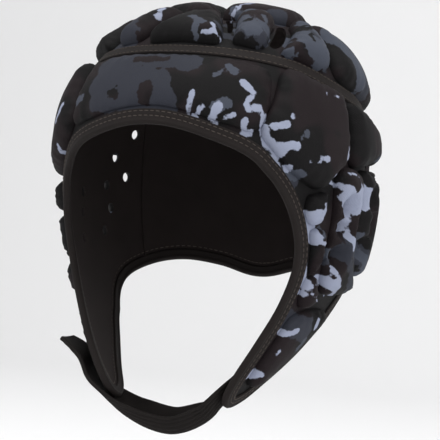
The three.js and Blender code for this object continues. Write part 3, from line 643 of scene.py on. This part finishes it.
def place_under(x, y):
    """Angle and level of the cap under a pixel of the photograph."""
    gap = np.hypot(*(FORM_PIXELS - (x, y)).T)
    under = np.where(gap < SEEN_REACH)[0]
    under = under[FORM_NEAR[under] > FORM_NEAR[under].max() - SEEN_DEPTH]
    angle, level = FORM_PLACES[under[gap[under].argmin()]]
    return round(angle), round(level, 2)


def near_side(place):
    """Says whether a place lies on the side whose print the two tables hold."""
    angle, level = place
    first, last = SEEN_ANGLES
    return first < angle < last or (angle <= first and level < CROWN_SEEN)


def strokes(kind):
    """Strokes of one kind, each as two places and a radius in millimetres."""
    rows = []
    for x, y, end_x, end_y, radius in SEEN[kind]:
        rows.append((place_under(x, y), place_under(end_x, end_y), round(radius / PIXELS_PER_METRE / MM, 1)))
    for angle, level, end_angle, end_level, radius in PLACED[kind]:
        rows.append(((angle, level), (end_angle, end_level), radius))
    return rows + [row for row in scatter(*SPREAD[kind]) if not near_side(row[0])]


STROKES = {kind: strokes(kind) for kind in SPREAD}


def paint(piece, places):
    """Stores the print's distances on a piece whose points lie over these places."""
    points = skin(places)
    hollow = capsules(points, STROKES["hollow"])
    for kind in ("slate", "haze"):
        attribute(piece, kind, np.minimum(capsules(points, STROKES[kind]), -hollow))
    attribute(piece, "fleck", capsules(points, STROKES["fleck"]))


# Length round the head, and from the crown down to the levels 0, 1 and 2
HEAD_ROUND = 545
LENGTHS_DOWN = (0, 118, 253)


def knit_map(piece, places):
    """UV map in which one unit is one millimetre round or down the cap."""
    down = np.interp(places[:, 1], [0, 1, 2], LENGTHS_DOWN)
    around = places[:, 0] / 360 * HEAD_ROUND
    layer = piece.data.uv_layers.new(name="knit")
    corners = np.zeros(len(piece.data.loops), int)
    piece.data.loops.foreach_get("vertex_index", corners)
    spots = np.stack([around, down], 1)[corners]
    layer.data.foreach_set("uv", spots.ravel().astype(np.float32))


# Materials


class Nodes:
    """Small helper that adds linked shader nodes."""

    def __init__(self, name):
        self.material = bpy.data.materials.new(name)
        self.material.use_nodes = True
        self.tree = self.material.node_tree
        self.shader = self.tree.nodes["Principled BSDF"]

    def add(self, kind, inputs=None, **settings):
        node = self.tree.nodes.new(kind)
        for key, value in settings.items():
            setattr(node, key, value)
        for key, value in (inputs or {}).items():
            if isinstance(value, bpy.types.NodeSocket):
                self.tree.links.new(value, node.inputs[key])
            else:
                node.inputs[key].default_value = value
        return node

    def set(self, **values):
        for key, value in values.items():
            socket = self.shader.inputs[key.replace("_", " ")]
            if isinstance(value, bpy.types.NodeSocket):
                self.tree.links.new(value, socket)
            else:
                socket.default_value = value


def linear(red, green, blue):
    """Colour of a photograph's eight-bit values as the shader takes it."""
    def one(value):
        share = value / 255
        return share / 12.92 if share <= 0.04045 else ((share + 0.055) / 1.055) ** 2.4
    return one(red), one(green), one(blue), 1


def fabric_bump(nodes, scale, strength, distance):
    """Fine cloth grain over soft unevenness."""
    place = nodes.add("ShaderNodeTexCoord")
    grain = nodes.add("ShaderNodeTexNoise", {"Vector": place.outputs["Object"], "Scale": scale, "Detail": 3})
    bump = nodes.add("ShaderNodeBump", {"Height": grain.outputs["Fac"], "Strength": strength,
                                        "Distance": distance})
    nodes.set(Normal=bump.outputs["Normal"])


KNIT_PITCH = 0.9
KNIT_TALLER = 1.3


def knit_height(nodes, pitch):
    """Rows of knitted loops, from the millimetre map."""
    place = nodes.add("ShaderNodeUVMap", uv_map="knit")
    split = nodes.add("ShaderNodeSeparateXYZ", {"Vector": place.outputs["UV"]})
    waves = []
    for axis, size in (("X", pitch), ("Y", pitch * KNIT_TALLER)):
        inputs = {0: split.outputs[axis], 1: 2 * math.pi / size}
        turn = nodes.add("ShaderNodeMath", inputs, operation="MULTIPLY")
        waves.append(nodes.add("ShaderNodeMath", {0: turn.outputs[0]}, operation="SINE"))
    inputs = {0: waves[0].outputs[0], 1: waves[1].outputs[0]}
    return nodes.add("ShaderNodeMath", inputs, operation="MULTIPLY")


PRINT_COLORS = {
    "ground": linear(14, 13, 14),
    "dusk": linear(27, 21, 23),
    "slate": linear(44, 46, 54),
    "haze": linear(62, 66, 76),
    "fleck": linear(138, 144, 163),
}
# How ragged the edge of each kind of patch is, and half the width of its blur, in millimetres
PRINT_RAGGED = {"slate": 8.0, "haze": 7.0, "fleck": 4.5}
PRINT_BLUR = 0.25
CLOTH_SHINE = 0.12


def printed_cloth():
    nodes = Nodes("printed_cloth")
    place = nodes.add("ShaderNodeTexCoord")
    spot = place.outputs["Object"]
    ragged = nodes.add("ShaderNodeTexNoise", {"Vector": spot, "Scale": 190, "Detail": 3, "Roughness": 0.55})
    lift = nodes.add("ShaderNodeMath", {0: ragged.outputs["Fac"], 1: 0.5}, operation="SUBTRACT")
    shade = nodes.add("ShaderNodeTexNoise", {"Vector": spot, "Scale": 30, "Detail": 1})
    inputs = {"Value": shade.outputs["Fac"], "From Min": 0.46, "From Max": 0.52}
    dusk = nodes.add("ShaderNodeMapRange", inputs)
    base = nodes.add("ShaderNodeMix", {"Factor": dusk.outputs["Result"]}, data_type="RGBA")
    base.inputs[6].default_value = PRINT_COLORS["ground"]
    base.inputs[7].default_value = PRINT_COLORS["dusk"]
    color = base.outputs[2]
    for name, rough in PRINT_RAGGED.items():
        field = nodes.add("ShaderNodeAttribute", attribute_name=name)
        inputs = {0: lift.outputs[0], 1: rough, 2: field.outputs["Fac"]}
        shift = nodes.add("ShaderNodeMath", inputs, operation="MULTIPLY_ADD")
        inputs = {"Value": shift.outputs[0], "From Min": -PRINT_BLUR, "From Max": PRINT_BLUR}
        edge = nodes.add("ShaderNodeMapRange", inputs)
        mix = nodes.add("ShaderNodeMix", {"Factor": edge.outputs["Result"]}, data_type="RGBA")
        nodes.tree.links.new(color, mix.inputs[6])
        mix.inputs[7].default_value = PRINT_COLORS[name]
        color = mix.outputs[2]
    fade = nodes.add("ShaderNodeTexNoise", {"Vector": spot, "Scale": 38, "Detail": 4})
    worn = nodes.add("ShaderNodeMapRange", {"Value": fade.outputs["Fac"], "To Min": 0.86, "To Max": 1.14})
    tone = nodes.add("ShaderNodeHueSaturation", {"Color": color, "Value": worn.outputs["Result"]})
    knit = knit_height(nodes, KNIT_PITCH)
    grain = nodes.add("ShaderNodeTexNoise", {"Vector": spot, "Scale": 900, "Detail": 2})
    inputs = {0: knit.outputs[0], 1: 0.5, 2: grain.outputs["Fac"]}
    height = nodes.add("ShaderNodeMath", inputs, operation="MULTIPLY_ADD")
    bump = nodes.add("ShaderNodeBump", {"Height": height.outputs[0], "Strength": 0.35, "Distance": 0.0002})
    nodes.set(Base_Color=tone.outputs["Color"], Normal=bump.outputs["Normal"], Roughness=0.7,
              Specular_IOR_Level=CLOTH_SHINE)
    return nodes.material


def plain_cloth(name, color, roughness, scale, strength, distance):
    nodes = Nodes(name)
    nodes.set(Roughness=roughness, Specular_IOR_Level=CLOTH_SHINE)
    place = nodes.add("ShaderNodeTexCoord")
    fade = nodes.add("ShaderNodeTexNoise", {"Vector": place.outputs["Object"], "Scale": 60, "Detail": 4})
    worn = nodes.add("ShaderNodeMapRange", {"Value": fade.outputs["Fac"], "To Min": 0.8, "To Max": 1.2})
    tone = nodes.add("ShaderNodeHueSaturation", {"Color": color, "Value": worn.outputs["Result"]})
    nodes.set(Base_Color=tone.outputs["Color"])
    fabric_bump(nodes, scale, strength, distance)
    return nodes.material


PRINT = printed_cloth()
LINING_CLOTH = plain_cloth("lining_cloth", linear(36, 31, 30), 0.85, 1400.0, 0.4, 0.0002)
TAPE = plain_cloth("tape", linear(29, 25, 24), 0.7, 1600.0, 0.5, 0.0002)
THREAD = plain_cloth("thread", linear(70, 64, 60), 0.7, 2500.0, 0.4, 0.0001)
STRAP_CLOTH = plain_cloth("strap_cloth", linear(27, 24, 23), 0.75, 1500.0, 0.5, 0.0002)


def dress(piece, material, slot, *nodes):
    """Gives a piece its material and its body, and hides the CAD nodes it stands for. Its slot is not used.
    """
    piece.data.materials.append(material)
    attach(piece, "root")
    if nodes:
        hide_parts(*nodes)


# Cloth and lining


HOLE_SIDES = 20
VENT_STEP = 1.2
# Points of the cloth keep this share of their spacing from its edges
CLOTH_CLEAR = 0.55
hole_places = [place for hole in HOLES for place in (hole, mirror(hole))]
hole_rings = [ring(place, HOLE_RADIUS, HOLE_SIDES) for place in hole_places]
hole_middles = skin(hole_places)
vent_rings = []
for outline in VENTS:
    loop = closed_line(outline, VENT_STEP)
    vent_rings += [loop, mirror(loop)]


def on_chart(free, loops, clear):
    """Free places that lie within the first loop, out of the others and clear of all of them."""
    keep = inside(to_chart(free), to_chart(loops[0]))
    for loop in loops[1:]:
        keep &= ~inside(to_chart(free), to_chart(loop))
    free = free[keep]
    points = skin(free)
    keep = np.ones(len(free), bool)
    for loop in loops:
        near, _ = distances(points, skin(loop))
        keep &= near > clear
    return free[keep]


def shell_patch():
    edge = mirrored_loop(resample(EDGE, CLOTH_STEP))
    loops = [edge, *hole_rings, *vent_rings]
    free = on_chart(lattice(CLOTH_STEP), loops, CLOTH_STEP * CLOTH_CLEAR)
    return triangulate(loops, free)


def build_cloth():
    places, faces = shell_patch()
    for name, low, high in (("printed_cover", LINING, CLOTH), ("lining", 0, LINING)):
        points, polygons = closed_slab(places, faces, low, high)
        piece = make(name, points, polygons)
        both = np.concatenate([places, places])
        if name == "lining":
            dress(piece, LINING_CLOTH, "printed_cloth", *CLOTH_PANELS)
        else:
            paint(piece, both)
            knit_map(piece, both)
            dress(piece, PRINT, "printed_cloth", *CLOTH_PANELS)


build_cloth()


# Foam pads under the printed cloth


PAD_LATTICE = lattice(PAD_STEP)
PAD_LINE_STEP = 1.6
# Roundness of a pad's shoulder as a share of its thickness, height of its rim, share of its dome
EDGE_ROUND = 0.85
RIM = 0.5
DOME = 0.2
# Pads sink to a depth round their ear holes, over a reach, and hold holes this far inside their outline
HOLE_DEPTH = 0.9
HOLE_DISH = 6.5
HOLE_MARGIN = 1.2
# Rows of points along the outline, and the share of a step that the other points keep from them
INSETS = (0.5, 1.4)
ROW_CLEAR = 0.7
INNER_CLEAR = 0.6
# Puckers of the seams: depth, pitch, how far they wander, and where they are full and fade
PUCKER_DEPTH = 0.4
PUCKER_PITCH = 7.5
PUCKER_DRIFT = 9
PUCKER_WANDER = 5
PUCKER_FULL = 1.5
PUCKER_FADE = 5
# Soft unevenness of the foam
SWELL_DEPTH = 0.7
SWELL_SIZE = 17
SEED_STEP = 3.7
# Some creases between pads are shallow: width of the slope there, and where they run, as an angle and a
# reach to both sides, with degrees over which the slope steepens again
SOFT_SLOPE = 9
SOFT_FADE = 8
SOFT_CREASES = {"forehead": (24, 40), "temple": (44, 12), "ear_front": (89, 5), "ear_rear": (89, 5)}


def inset(loop, distance):
    """Loop of places moved inwards by a distance on the head form."""
    spots = to_chart(loop)
    if signed_area(spots) < 0:
        loop, spots = loop[::-1], spots[::-1]
    points = skin(loop)
    along = np.roll(points, -1, axis=0) - np.roll(points, 1, axis=0)
    along /= np.linalg.norm(along, axis=1, keepdims=True)
    towards = np.cross(outward(loop), along)
    small = 0.01
    step_angle = (skin(loop + (small, 0)) - points) / small
    step_level = (skin(loop + (0, small)) - points) / small
    moved = []
    for way, a, b in zip(towards * distance, step_angle, step_level):
        shift, *_ = np.linalg.lstsq(np.stack([a, b], 1), way, rcond=None)
        moved.append(shift)
    return loop + np.array(moved)


def signed_area(spots):
    x, y = spots[:, 0], spots[:, 1]
    return 0.5 * (x * np.roll(y, -1) - np.roll(x, -1) * y).sum()


def pad_holes(loop):
    """Ear holes that lie well within a pad's outline."""
    holes = []
    for hole in hole_rings:
        within = inside(to_chart(hole), to_chart(loop)).all()
        if within and distances(skin(hole), skin(loop))[0].min() > HOLE_MARGIN:
            holes.append(hole)
    return holes


def pad_patch(loop):
    loops = [loop, *pad_holes(loop)]
    rows = [on_chart(inset(loop, distance), loops, INSETS[0] * ROW_CLEAR) for distance in INSETS]
    free = on_chart(PAD_LATTICE, loops, INSETS[-1] + PAD_STEP * INNER_CLEAR)
    return triangulate(loops, np.concatenate([free, *rows]))


def pad_height(places, loop, rise, seed, soft):
    """Height of a swollen pad over its seat at each place."""
    spots = skin(places)
    edge_gap, along = distances(spots, skin(loop))
    thick = rise - RIM
    shallow = np.zeros(len(places))
    if soft:
        middle, reach = soft
        shallow = np.clip(1 - (np.abs(np.abs(places[:, 0]) - middle) - reach) / SOFT_FADE, 0, 1)
    slope = thick * EDGE_ROUND * (1 - shallow) + SOFT_SLOPE * shallow
    share = np.clip(edge_gap / slope, 0, 1)
    shoulder = np.sqrt(1 - (1 - share) ** 2)
    widest = max(edge_gap.max(), 1)
    dome = 1 - DOME + DOME * (1 - (1 - edge_gap / widest) ** 2)
    height = RIM + thick * shoulder * dome
    drift = np.array([noise.noise(Vector((value / PUCKER_DRIFT, seed * SEED_STEP, 0))) for value in along])
    pucker = np.sin(along / PUCKER_PITCH * 2 * np.pi + PUCKER_WANDER * drift)
    pucker = pucker * np.exp(-edge_gap / PUCKER_FADE) * np.minimum(edge_gap, PUCKER_FULL)
    swell = np.array([noise.noise(Vector(spot) / SWELL_SIZE + Vector((seed, 0, 0))) for spot in spots])
    height = height + (PUCKER_DEPTH * pucker + SWELL_DEPTH * swell * shoulder * share)
    gaps = np.linalg.norm(spots[:, None] - hole_middles[None], axis=2).min(1) - HOLE_RADIUS
    dish = np.clip(gaps / HOLE_DISH, 0, 1)
    dish = dish * dish * (3 - 2 * dish)
    height = np.minimum(height, HOLE_DEPTH + (height - HOLE_DEPTH) * dish)
    return np.maximum(height, RIM)


def build_pad(node, rise, loop, seed, slot="printed_cloth", soft=None):
    places, faces = pad_patch(loop)
    top = PAD_BASE + pad_height(places, loop, rise, seed, soft)
    points, polygons = closed_slab(places, faces, PAD_BASE, top)
    piece = make(f"{node}_pad", points, polygons, 60)
    both = np.concatenate([places, places])
    paint(piece, both)
    knit_map(piece, both)
    dress(piece, PRINT, slot, node)


def mirror_half(rows):
    """Whole outline from its left half, whose first and last row lie on the middle plane."""
    rows = np.asarray(rows, float)
    return np.concatenate([rows, mirror(rows)[::-1][1:-1]])


RIGHT_SEEDS = 50
for number, (name, (rise, outline)) in enumerate(PADS.items()):
    left = closed_line(outline, PAD_LINE_STEP, polar=name == "crown_top")
    slot = "strip_knit" if name.startswith("strip") else "printed_cloth"
    soft = SOFT_CREASES.get(name)
    build_pad(f"{name}_left", rise, left, number, slot, soft)
    build_pad(f"{name}_right", rise, mirror(left), number + RIGHT_SEEDS, slot, soft)
build_pad("crown_front", CROWN_PAD, closed_line(mirror_half(CROWN_FRONT), PAD_LINE_STEP), 31)
build_pad("forehead", FOREHEAD_PAD, closed_line(mirror_half(FOREHEAD), PAD_LINE_STEP), 32,
          soft=SOFT_CREASES["forehead"])


# Tapes


def follow(places, section, closed):
    """Stations of a section along a line of places. A section's point is a distance to the left of the line
    as seen from outside, and a height."""
    points = skin(places)
    if closed:
        along = np.roll(points, -1, axis=0) - np.roll(points, 1, axis=0)
    else:
        along = np.gradient(points, axis=0)
    along /= np.linalg.norm(along, axis=1, keepdims=True)
    normal = outward(places)
    inward = np.cross(normal, along)
    inward /= np.linalg.norm(inward, axis=1, keepdims=True)
    section = np.asarray(section, float)
    stations = (
        points[:, None]
        + normal[:, None] * section[None, :, 1:2]
        + inward[:, None] * section[None, :, 0:1]
    )
    return list(stations)


def roundness(gap, reach):
    """How far a soft edge has risen at a gap from it: 0 on the edge, and 1 from its reach on."""
    return math.sqrt(1 - (1 - min(gap / reach, 1)) ** 2)


def dents(x, rows, depth, width):
    """Depth of the soft dents that rows of stitches press in at a place across a tape or strap."""
    return sum(depth * math.exp(-((x - row) / width) ** 2) for row in rows)


TAPE_EDGE = 0.8
BAND_WIDTH = 8
BAND_THICKNESS = 1.0
BAND_STITCH = 2.9


def band_section():
    """Flat tape with soft edges, dented along its two rows of stitches."""
    half = BAND_WIDTH / 2
    top = []
    for x in np.linspace(-half, half, 17):
        thickness = BAND_THICKNESS * (0.35 + 0.65 * roundness(half - abs(x), TAPE_EDGE))
        top.append((x, PAD_BASE + thickness - dents(abs(x), (BAND_STITCH,), 0.28, 0.45)))
    return top + [(half, PAD_BASE), (-half, PAD_BASE)]


band_places = mirrored_loop(resample(open_line(BAND_LINE), TAPE_STEP))
band_points, band_faces = sweep(follow(band_places, band_section(), True), True)
band = make("crown_tape", band_points, band_faces, 70)
dress(band, TAPE, "binding_tape", "crown_band")

BINDING_WIDTH = 7
BINDING_INSIDE = 5
BINDING_ROWS = (2.9, 5.6)
BEAD = 1.75
BEAD_OUT = 0.25
BEAD_TALLER = 0.35


def binding_section():
    """Tape folded round the cloth's edge, with a rolled bead on the edge itself."""
    inner = -PAD_SEAT
    middle = (PAD_BASE + inner) / 2
    top = []
    for x in np.linspace(BINDING_WIDTH, 2.0, 13):
        thickness = 0.35 + 0.6 * roundness(BINDING_WIDTH - x, TAPE_EDGE)
        top.append((x, PAD_BASE + thickness - dents(x, BINDING_ROWS, 0.26, 0.4)))
    bead = []
    for turn in np.linspace(math.radians(60), math.radians(300), 13):
        bead.append((BEAD_OUT + BEAD * math.cos(turn), middle + (BEAD + BEAD_TALLER) * math.sin(turn)))
    under = []
    for x in np.linspace(1.6, BINDING_INSIDE, 8):
        under.append((x, inner - 0.3 - 0.4 * roundness(BINDING_INSIDE - x, TAPE_EDGE)))
    closing = [(BINDING_INSIDE, inner), (0.05, inner), (0.05, PAD_BASE), (BINDING_WIDTH, PAD_BASE)]
    return top + bead + under + closing


def build_bindings():
    section = binding_section()[::-1]
    lines = {
        "face": over_face(resample(EDGE[:TIP + 1], TAPE_STEP)),
        "neck": over_nape(resample(EDGE[TIP:], TAPE_STEP)),
    }
    for name, line in lines.items():
        points, polygons = sweep(follow(line, section, False), False)
        piece = make(f"{name}_tape", points, polygons, 70)
        dress(piece, TAPE, "binding_tape", f"{name}_binding")


build_bindings()


# Threads and the lining's seams


STITCH = 2.3
STITCH_PITCH = 3.1
STITCH_THICK = 0.28
THREAD_SIDES = 5
# Rings of a thread: share of its length, and share of its thickness
THREAD_RINGS = ((0, 0.4), (0.25, 1), (0.75, 1), (1, 0.4))


def stitches(name, rows, node):
    """Short threads in rows. A row is a line of places, a distance into the cloth and a height."""
    points = []
    polygons = []
    for line, offset, height, closed in rows:
        path = np.array(follow(resample(line, STITCH_PITCH, closed), [(offset, height)], closed))[:, 0]
        ahead = np.roll(path, -1, axis=0) - path
        for place, way in list(zip(path, ahead))[:len(path) if closed else -1]:
            along = Vector(way).normalized()
            side = along.orthogonal().normalized()
            other = along.cross(side)
            first = len(points)
            for end, thick in THREAD_RINGS:
                middle = Vector(place) + along * STITCH * end
                for turn in range(THREAD_SIDES):
                    angle = 2 * math.pi * turn / THREAD_SIDES
                    reach = STITCH_THICK * thick
                    points.append(middle + (side * math.cos(angle) + other * math.sin(angle)) * reach)
            last = len(points) - THREAD_SIDES
            for start in range(first, last, THREAD_SIDES):
                for i in range(THREAD_SIDES):
                    a, b = start + i, start + (i + 1) % THREAD_SIDES
                    polygons.append([a, b, b + THREAD_SIDES, a + THREAD_SIDES])
            polygons.append([first + i for i in reversed(range(THREAD_SIDES))])
            polygons.append([last + i for i in range(THREAD_SIDES)])
    piece = make(name, points, polygons, 60)
    dress(piece, THREAD, "binding_tape", node)


# Heights of the threads, and how far into the lining its own row runs
BAND_TOP = PAD_BASE + BAND_THICKNESS - 0.1
BINDING_TOP = PAD_BASE + 0.85
LINING_ROW = 6.8
LINING_TOP = -0.15
face_line = over_face(EDGE[:TIP + 1])
neck_line = over_nape(EDGE[TIP:])
stitches("crown_stitches", [(band_places, row, BAND_TOP, True) for row in (-BAND_STITCH, BAND_STITCH)],
         "crown_band")
stitches("face_stitches", [(face_line, row, BINDING_TOP, False) for row in BINDING_ROWS], "face_binding")
stitches("neck_stitches", [(neck_line, row, BINDING_TOP, False) for row in BINDING_ROWS], "neck_binding")
stitches("lining_stitches", [(line, LINING_ROW, LINING_TOP, False) for line in (neck_line, face_line)],
         "neck_binding")


def round_section(offset, height, radius, sides):
    turns = 2 * math.pi * np.arange(sides) / sides
    return [(offset + radius * math.cos(turn), height + radius * math.sin(turn)) for turn in -turns]


SIDE_SEAMS = [
    [(49, 0.53), (44.5, 0.7), (41, 0.84), (40, 0.96)],
    [(121, 0.78), (121.5, 0.95), (121.5, 1.2), (121.5, 1.42)],
]
SEAM_ROLL = 0.55
SEAM_DROP = 0.33


def lining_seams():
    """Rolled seams on the lining, under the crown tape and down both sides."""
    section = round_section(0, -SEAM_DROP, SEAM_ROLL, 8)
    lines = [(band_places, True, "cap_crown")]
    for rows in SIDE_SEAMS:
        line = resample(open_line(rows), TAPE_STEP)
        lines += [(line, False, "cap_side_left"), (mirror(line), False, "cap_side_right")]
    for number, (line, closed, node) in enumerate(lines):
        points, polygons = sweep(follow(line, section, closed), closed)
        piece = make(f"lining_seam_{number + 1}", points, polygons, 70)
        dress(piece, LINING_CLOTH, "printed_cloth", node)


lining_seams()


# Chin strap


STRAP_WIDTH = 29
STRAP_FRONT_SHARE = 0.42
STRAP_THICKNESS = 2.5
STRAP_DROP = 20
TROUGH_BEND = 7
TROUGH_WALL = 75
STRAP_EDGE = 1.2
# Seats of the CAD strap: on the lining over the binding's inner side, and on the pad of the other flap
SEAT = 0.3
LINING_SEAT = 0.95
INNER_BINDING = 1.2
COVER_SEAT = 0.55
PLAIN_JAW_PAD = 5.5
ON_LINING = -(LINING_SEAT + INNER_BINDING + SEAT + STRAP_THICKNESS / 2)
ON_PAD = CLOTH + COVER_SEAT + PLAIN_JAW_PAD + SEAT + STRAP_THICKNESS / 2
# On a flap: angle, level, height over the head form. Between the flaps: shares of the way across and down.
STRAP_ROWS = [
    {"place": (67.5, 1.84), "height": ON_LINING, "turn": 9, "cup": 0.06, "width": 0.5},
    {"place": (67, 1.9), "height": ON_LINING, "turn": 8, "cup": 0.1, "width": 0.68},
    {"across": 0.93, "drop": 0.12, "turn": 7, "cup": 0.35, "width": 0.9},
    {"across": 0.76, "drop": 0.48, "turn": 5, "cup": 0.7, "width": 1},
    {"across": 0.42, "drop": 0.83, "turn": 3, "cup": 1, "width": 1},
    {"across": 0.05, "drop": 1, "turn": 0, "cup": 1, "width": 1},
    {"across": -0.4, "drop": 0.92, "turn": -2, "cup": 1, "width": 1},
    {"across": -0.9, "drop": 0.6, "turn": -4, "cup": 0.6, "width": 1},
    {"across": -1.36, "drop": 0.05, "turn": -6, "cup": 0.12, "width": 1},
    {"place": (-66, 1.86), "height": ON_PAD + 0.5, "turn": -8, "cup": 0.08, "width": 1},
    {"place": (-66, 1.79), "height": ON_PAD + 0.5, "turn": -8, "cup": 0.06, "width": 1},
    {"place": (-66, 1.735), "height": ON_PAD + 4, "turn": -8, "cup": 0.06, "width": 0.95},
    {"place": (-66, 1.7), "height": ON_PAD + 7.5, "turn": -8, "cup": 0.06, "width": 0.6},
]
STRAP_STEPS = 110
STRAP_ACROSS = 56
STRAP_SPAN = 60
STRAP_EVEN = 6
WALL_STEPS = 12
# Ribs of the strap: distances of the dents across it, their depth and their width
RIB_ROWS = (-10.4, -8.3, -6.2, -4.1, -2, 0.1)
RIB_DEPTH = 0.8
RIB_WIDTH = 0.5


def strap_wall(reach, cup):
    """Where a point of the strap's width lies across, how high it stands and how it leans."""
    across = rise = lean = 0.0
    for i in range(WALL_STEPS):
        run = abs(reach) * (i + 0.5) / WALL_STEPS
        lean = math.radians(TROUGH_WALL) * cup * min(run / TROUGH_BEND, 1)
        across += math.cos(lean) * abs(reach) / WALL_STEPS
        rise += math.sin(lean) * abs(reach) / WALL_STEPS
    side = math.copysign(1, reach)
    return side * across, rise, (side * math.sin(lean), math.cos(lean))


def strap_section(cup, width):
    front = -STRAP_WIDTH * STRAP_FRONT_SHARE * width
    rear = STRAP_WIDTH * (1 - STRAP_FRONT_SHARE) * width
    outer = []
    inner = []
    for share in np.linspace(0, 1, STRAP_ACROSS):
        reach = front + (rear - front) * share
        across, rise, lean = strap_wall(reach, cup)
        edge = max(min(reach - front, rear - reach), 0)
        half = STRAP_THICKNESS / 2 * (0.45 + 0.55 * roundness(edge, STRAP_EDGE))
        dented = half - dents(reach, RIB_ROWS, RIB_DEPTH, RIB_WIDTH)
        outer.append((across + dented * lean[0], -rise + dented * lean[1]))
        inner.append((across - half * lean[0], -rise - half * lean[1]))
    return outer + inner[::-1]


def strap_centres():
    tip = skin(FACE_EDGE[-1], -STRAP_THICKNESS)
    centres = []
    for row in STRAP_ROWS:
        if "place" in row:
            centres.append(skin(row["place"], row["height"]))
        else:
            centres.append(np.array([tip[0] * row["across"], tip[1], tip[2] - STRAP_DROP * row["drop"]]))
    first = 2 * centres[0] - centres[1]
    last = 2 * centres[-1] - centres[-2]
    return hermite([first, *centres, last], STRAP_SPAN)


def strap_values(key, shares):
    """One column of STRAP_ROWS at every share, with its corners evened out."""
    values = np.interp(shares, range(len(STRAP_ROWS)), [row[key] for row in STRAP_ROWS])
    padded = np.pad(values, STRAP_EVEN, "edge")
    return np.convolve(padded, np.ones(2 * STRAP_EVEN + 1) / (2 * STRAP_EVEN + 1), "valid")


def build_strap():
    line = strap_centres()
    rows = len(STRAP_ROWS) - 1
    shares = np.linspace(0, rows, STRAP_STEPS + 1)
    turns, cups, widths = (strap_values(key, shares) for key in ("turn", "cup", "width"))
    stations = []
    for share, turn, cup, width in zip(shares, np.radians(turns), cups, widths):
        at = int(round(share * STRAP_SPAN))
        centre = line[at]
        along = line[min(at + 3, len(line) - 1)] - line[max(at - 3, 0)]
        along /= np.linalg.norm(along)
        rearward = np.array([math.sin(turn), math.cos(turn), 0])
        rearward -= along * (rearward @ along)
        rearward /= np.linalg.norm(rearward)
        away = np.cross(along, rearward)
        section = np.array(strap_section(cup, width))
        stations.append(centre + section[:, :1] * rearward + section[:, 1:] * away)
    points, polygons = sweep(stations, False)
    piece = make("strap_body", points, polygons, 70)
    dress(piece, STRAP_CLOTH, "strap_cloth", "chin_strap")


build_strap()


# Floor, light and camera


def build_stage():
    size = 3.0
    drop = -0.32
    behind = 1.1
    bend = 0.6
    profile = [(-size, drop)]
    for turn in np.linspace(0, math.pi / 2, 24):
        profile.append((behind + bend * math.sin(turn), drop + bend * (1 - math.cos(turn))))
    profile.append((behind + bend, drop + size))
    points = [(side * size, y, z) for y, z in profile for side in (-1, 1)]
    polygons = [[2 * i, 2 * i + 1, 2 * i + 3, 2 * i + 2] for i in range(len(profile) - 1)]
    mesh = bpy.data.meshes.new("stage_floor")
    mesh.from_pydata(points, [], polygons)
    mesh.polygons.foreach_set("use_smooth", [True] * len(polygons))
    floor = bpy.data.objects.new("stage_floor", mesh)
    bpy.context.collection.objects.link(floor)
    nodes = Nodes("stage_paper")
    nodes.set(Base_Color=(0.86, 0.86, 0.865, 1), Roughness=0.9)
    mesh.materials.append(nodes.material)


def build_camera():
    right, up, away = camera_axes()
    shift_right = (IMAGE_SIZE / 2 - TARGET_PIXEL[0]) / PIXELS_PER_METRE
    shift_up = (TARGET_PIXEL[1] - IMAGE_SIZE / 2) / PIXELS_PER_METRE
    place = Vector(CAMERA_TARGET) + away * CAMERA_DISTANCE + right * shift_right + up * shift_up
    data = bpy.data.cameras.new("camera")
    data.sensor_width = SENSOR
    data.lens = SENSOR * CAMERA_DISTANCE * PIXELS_PER_METRE / IMAGE_SIZE
    camera = bpy.data.objects.new("camera", data)
    axes = Matrix((right, up, away)).transposed()
    camera.matrix_world = Matrix.Translation(place) @ axes.to_4x4()
    bpy.context.collection.objects.link(camera)
    bpy.context.scene.camera = camera


def area_light(name, place, aim, size, power_watts):
    data = bpy.data.lights.new(name, "AREA")
    data.shape = "RECTANGLE"
    data.size, data.size_y = size
    data.energy = power_watts
    light = bpy.data.objects.new(name, data)
    light.location = place
    light.rotation_euler = (Vector(aim) - Vector(place)).to_track_quat("-Z", "Y").to_euler()
    bpy.context.collection.objects.link(light)


def build_light():
    middle = (0, 0, -0.1)
    area_light("top_light", (0.1, -0.2, 1.3), middle, (1.4, 1.2), 17)
    area_light("left_light", (-1.2, -0.9, 0.5), middle, (0.9, 1.3), 9)
    area_light("right_light", (1.4, -0.4, 0.4), middle, (0.9, 1.3), 11)
    world = bpy.data.worlds.new("studio")
    world.use_nodes = True
    world.node_tree.nodes["Background"].inputs["Color"].default_value = (1, 1, 1, 1)
    world.node_tree.nodes["Background"].inputs["Strength"].default_value = 0.55
    bpy.context.scene.world = world


build_stage()
build_camera()
build_light()
bpy.context.scene.view_settings.view_transform = "Standard"


def corners(box):
    return [list(corner) for corner in box]
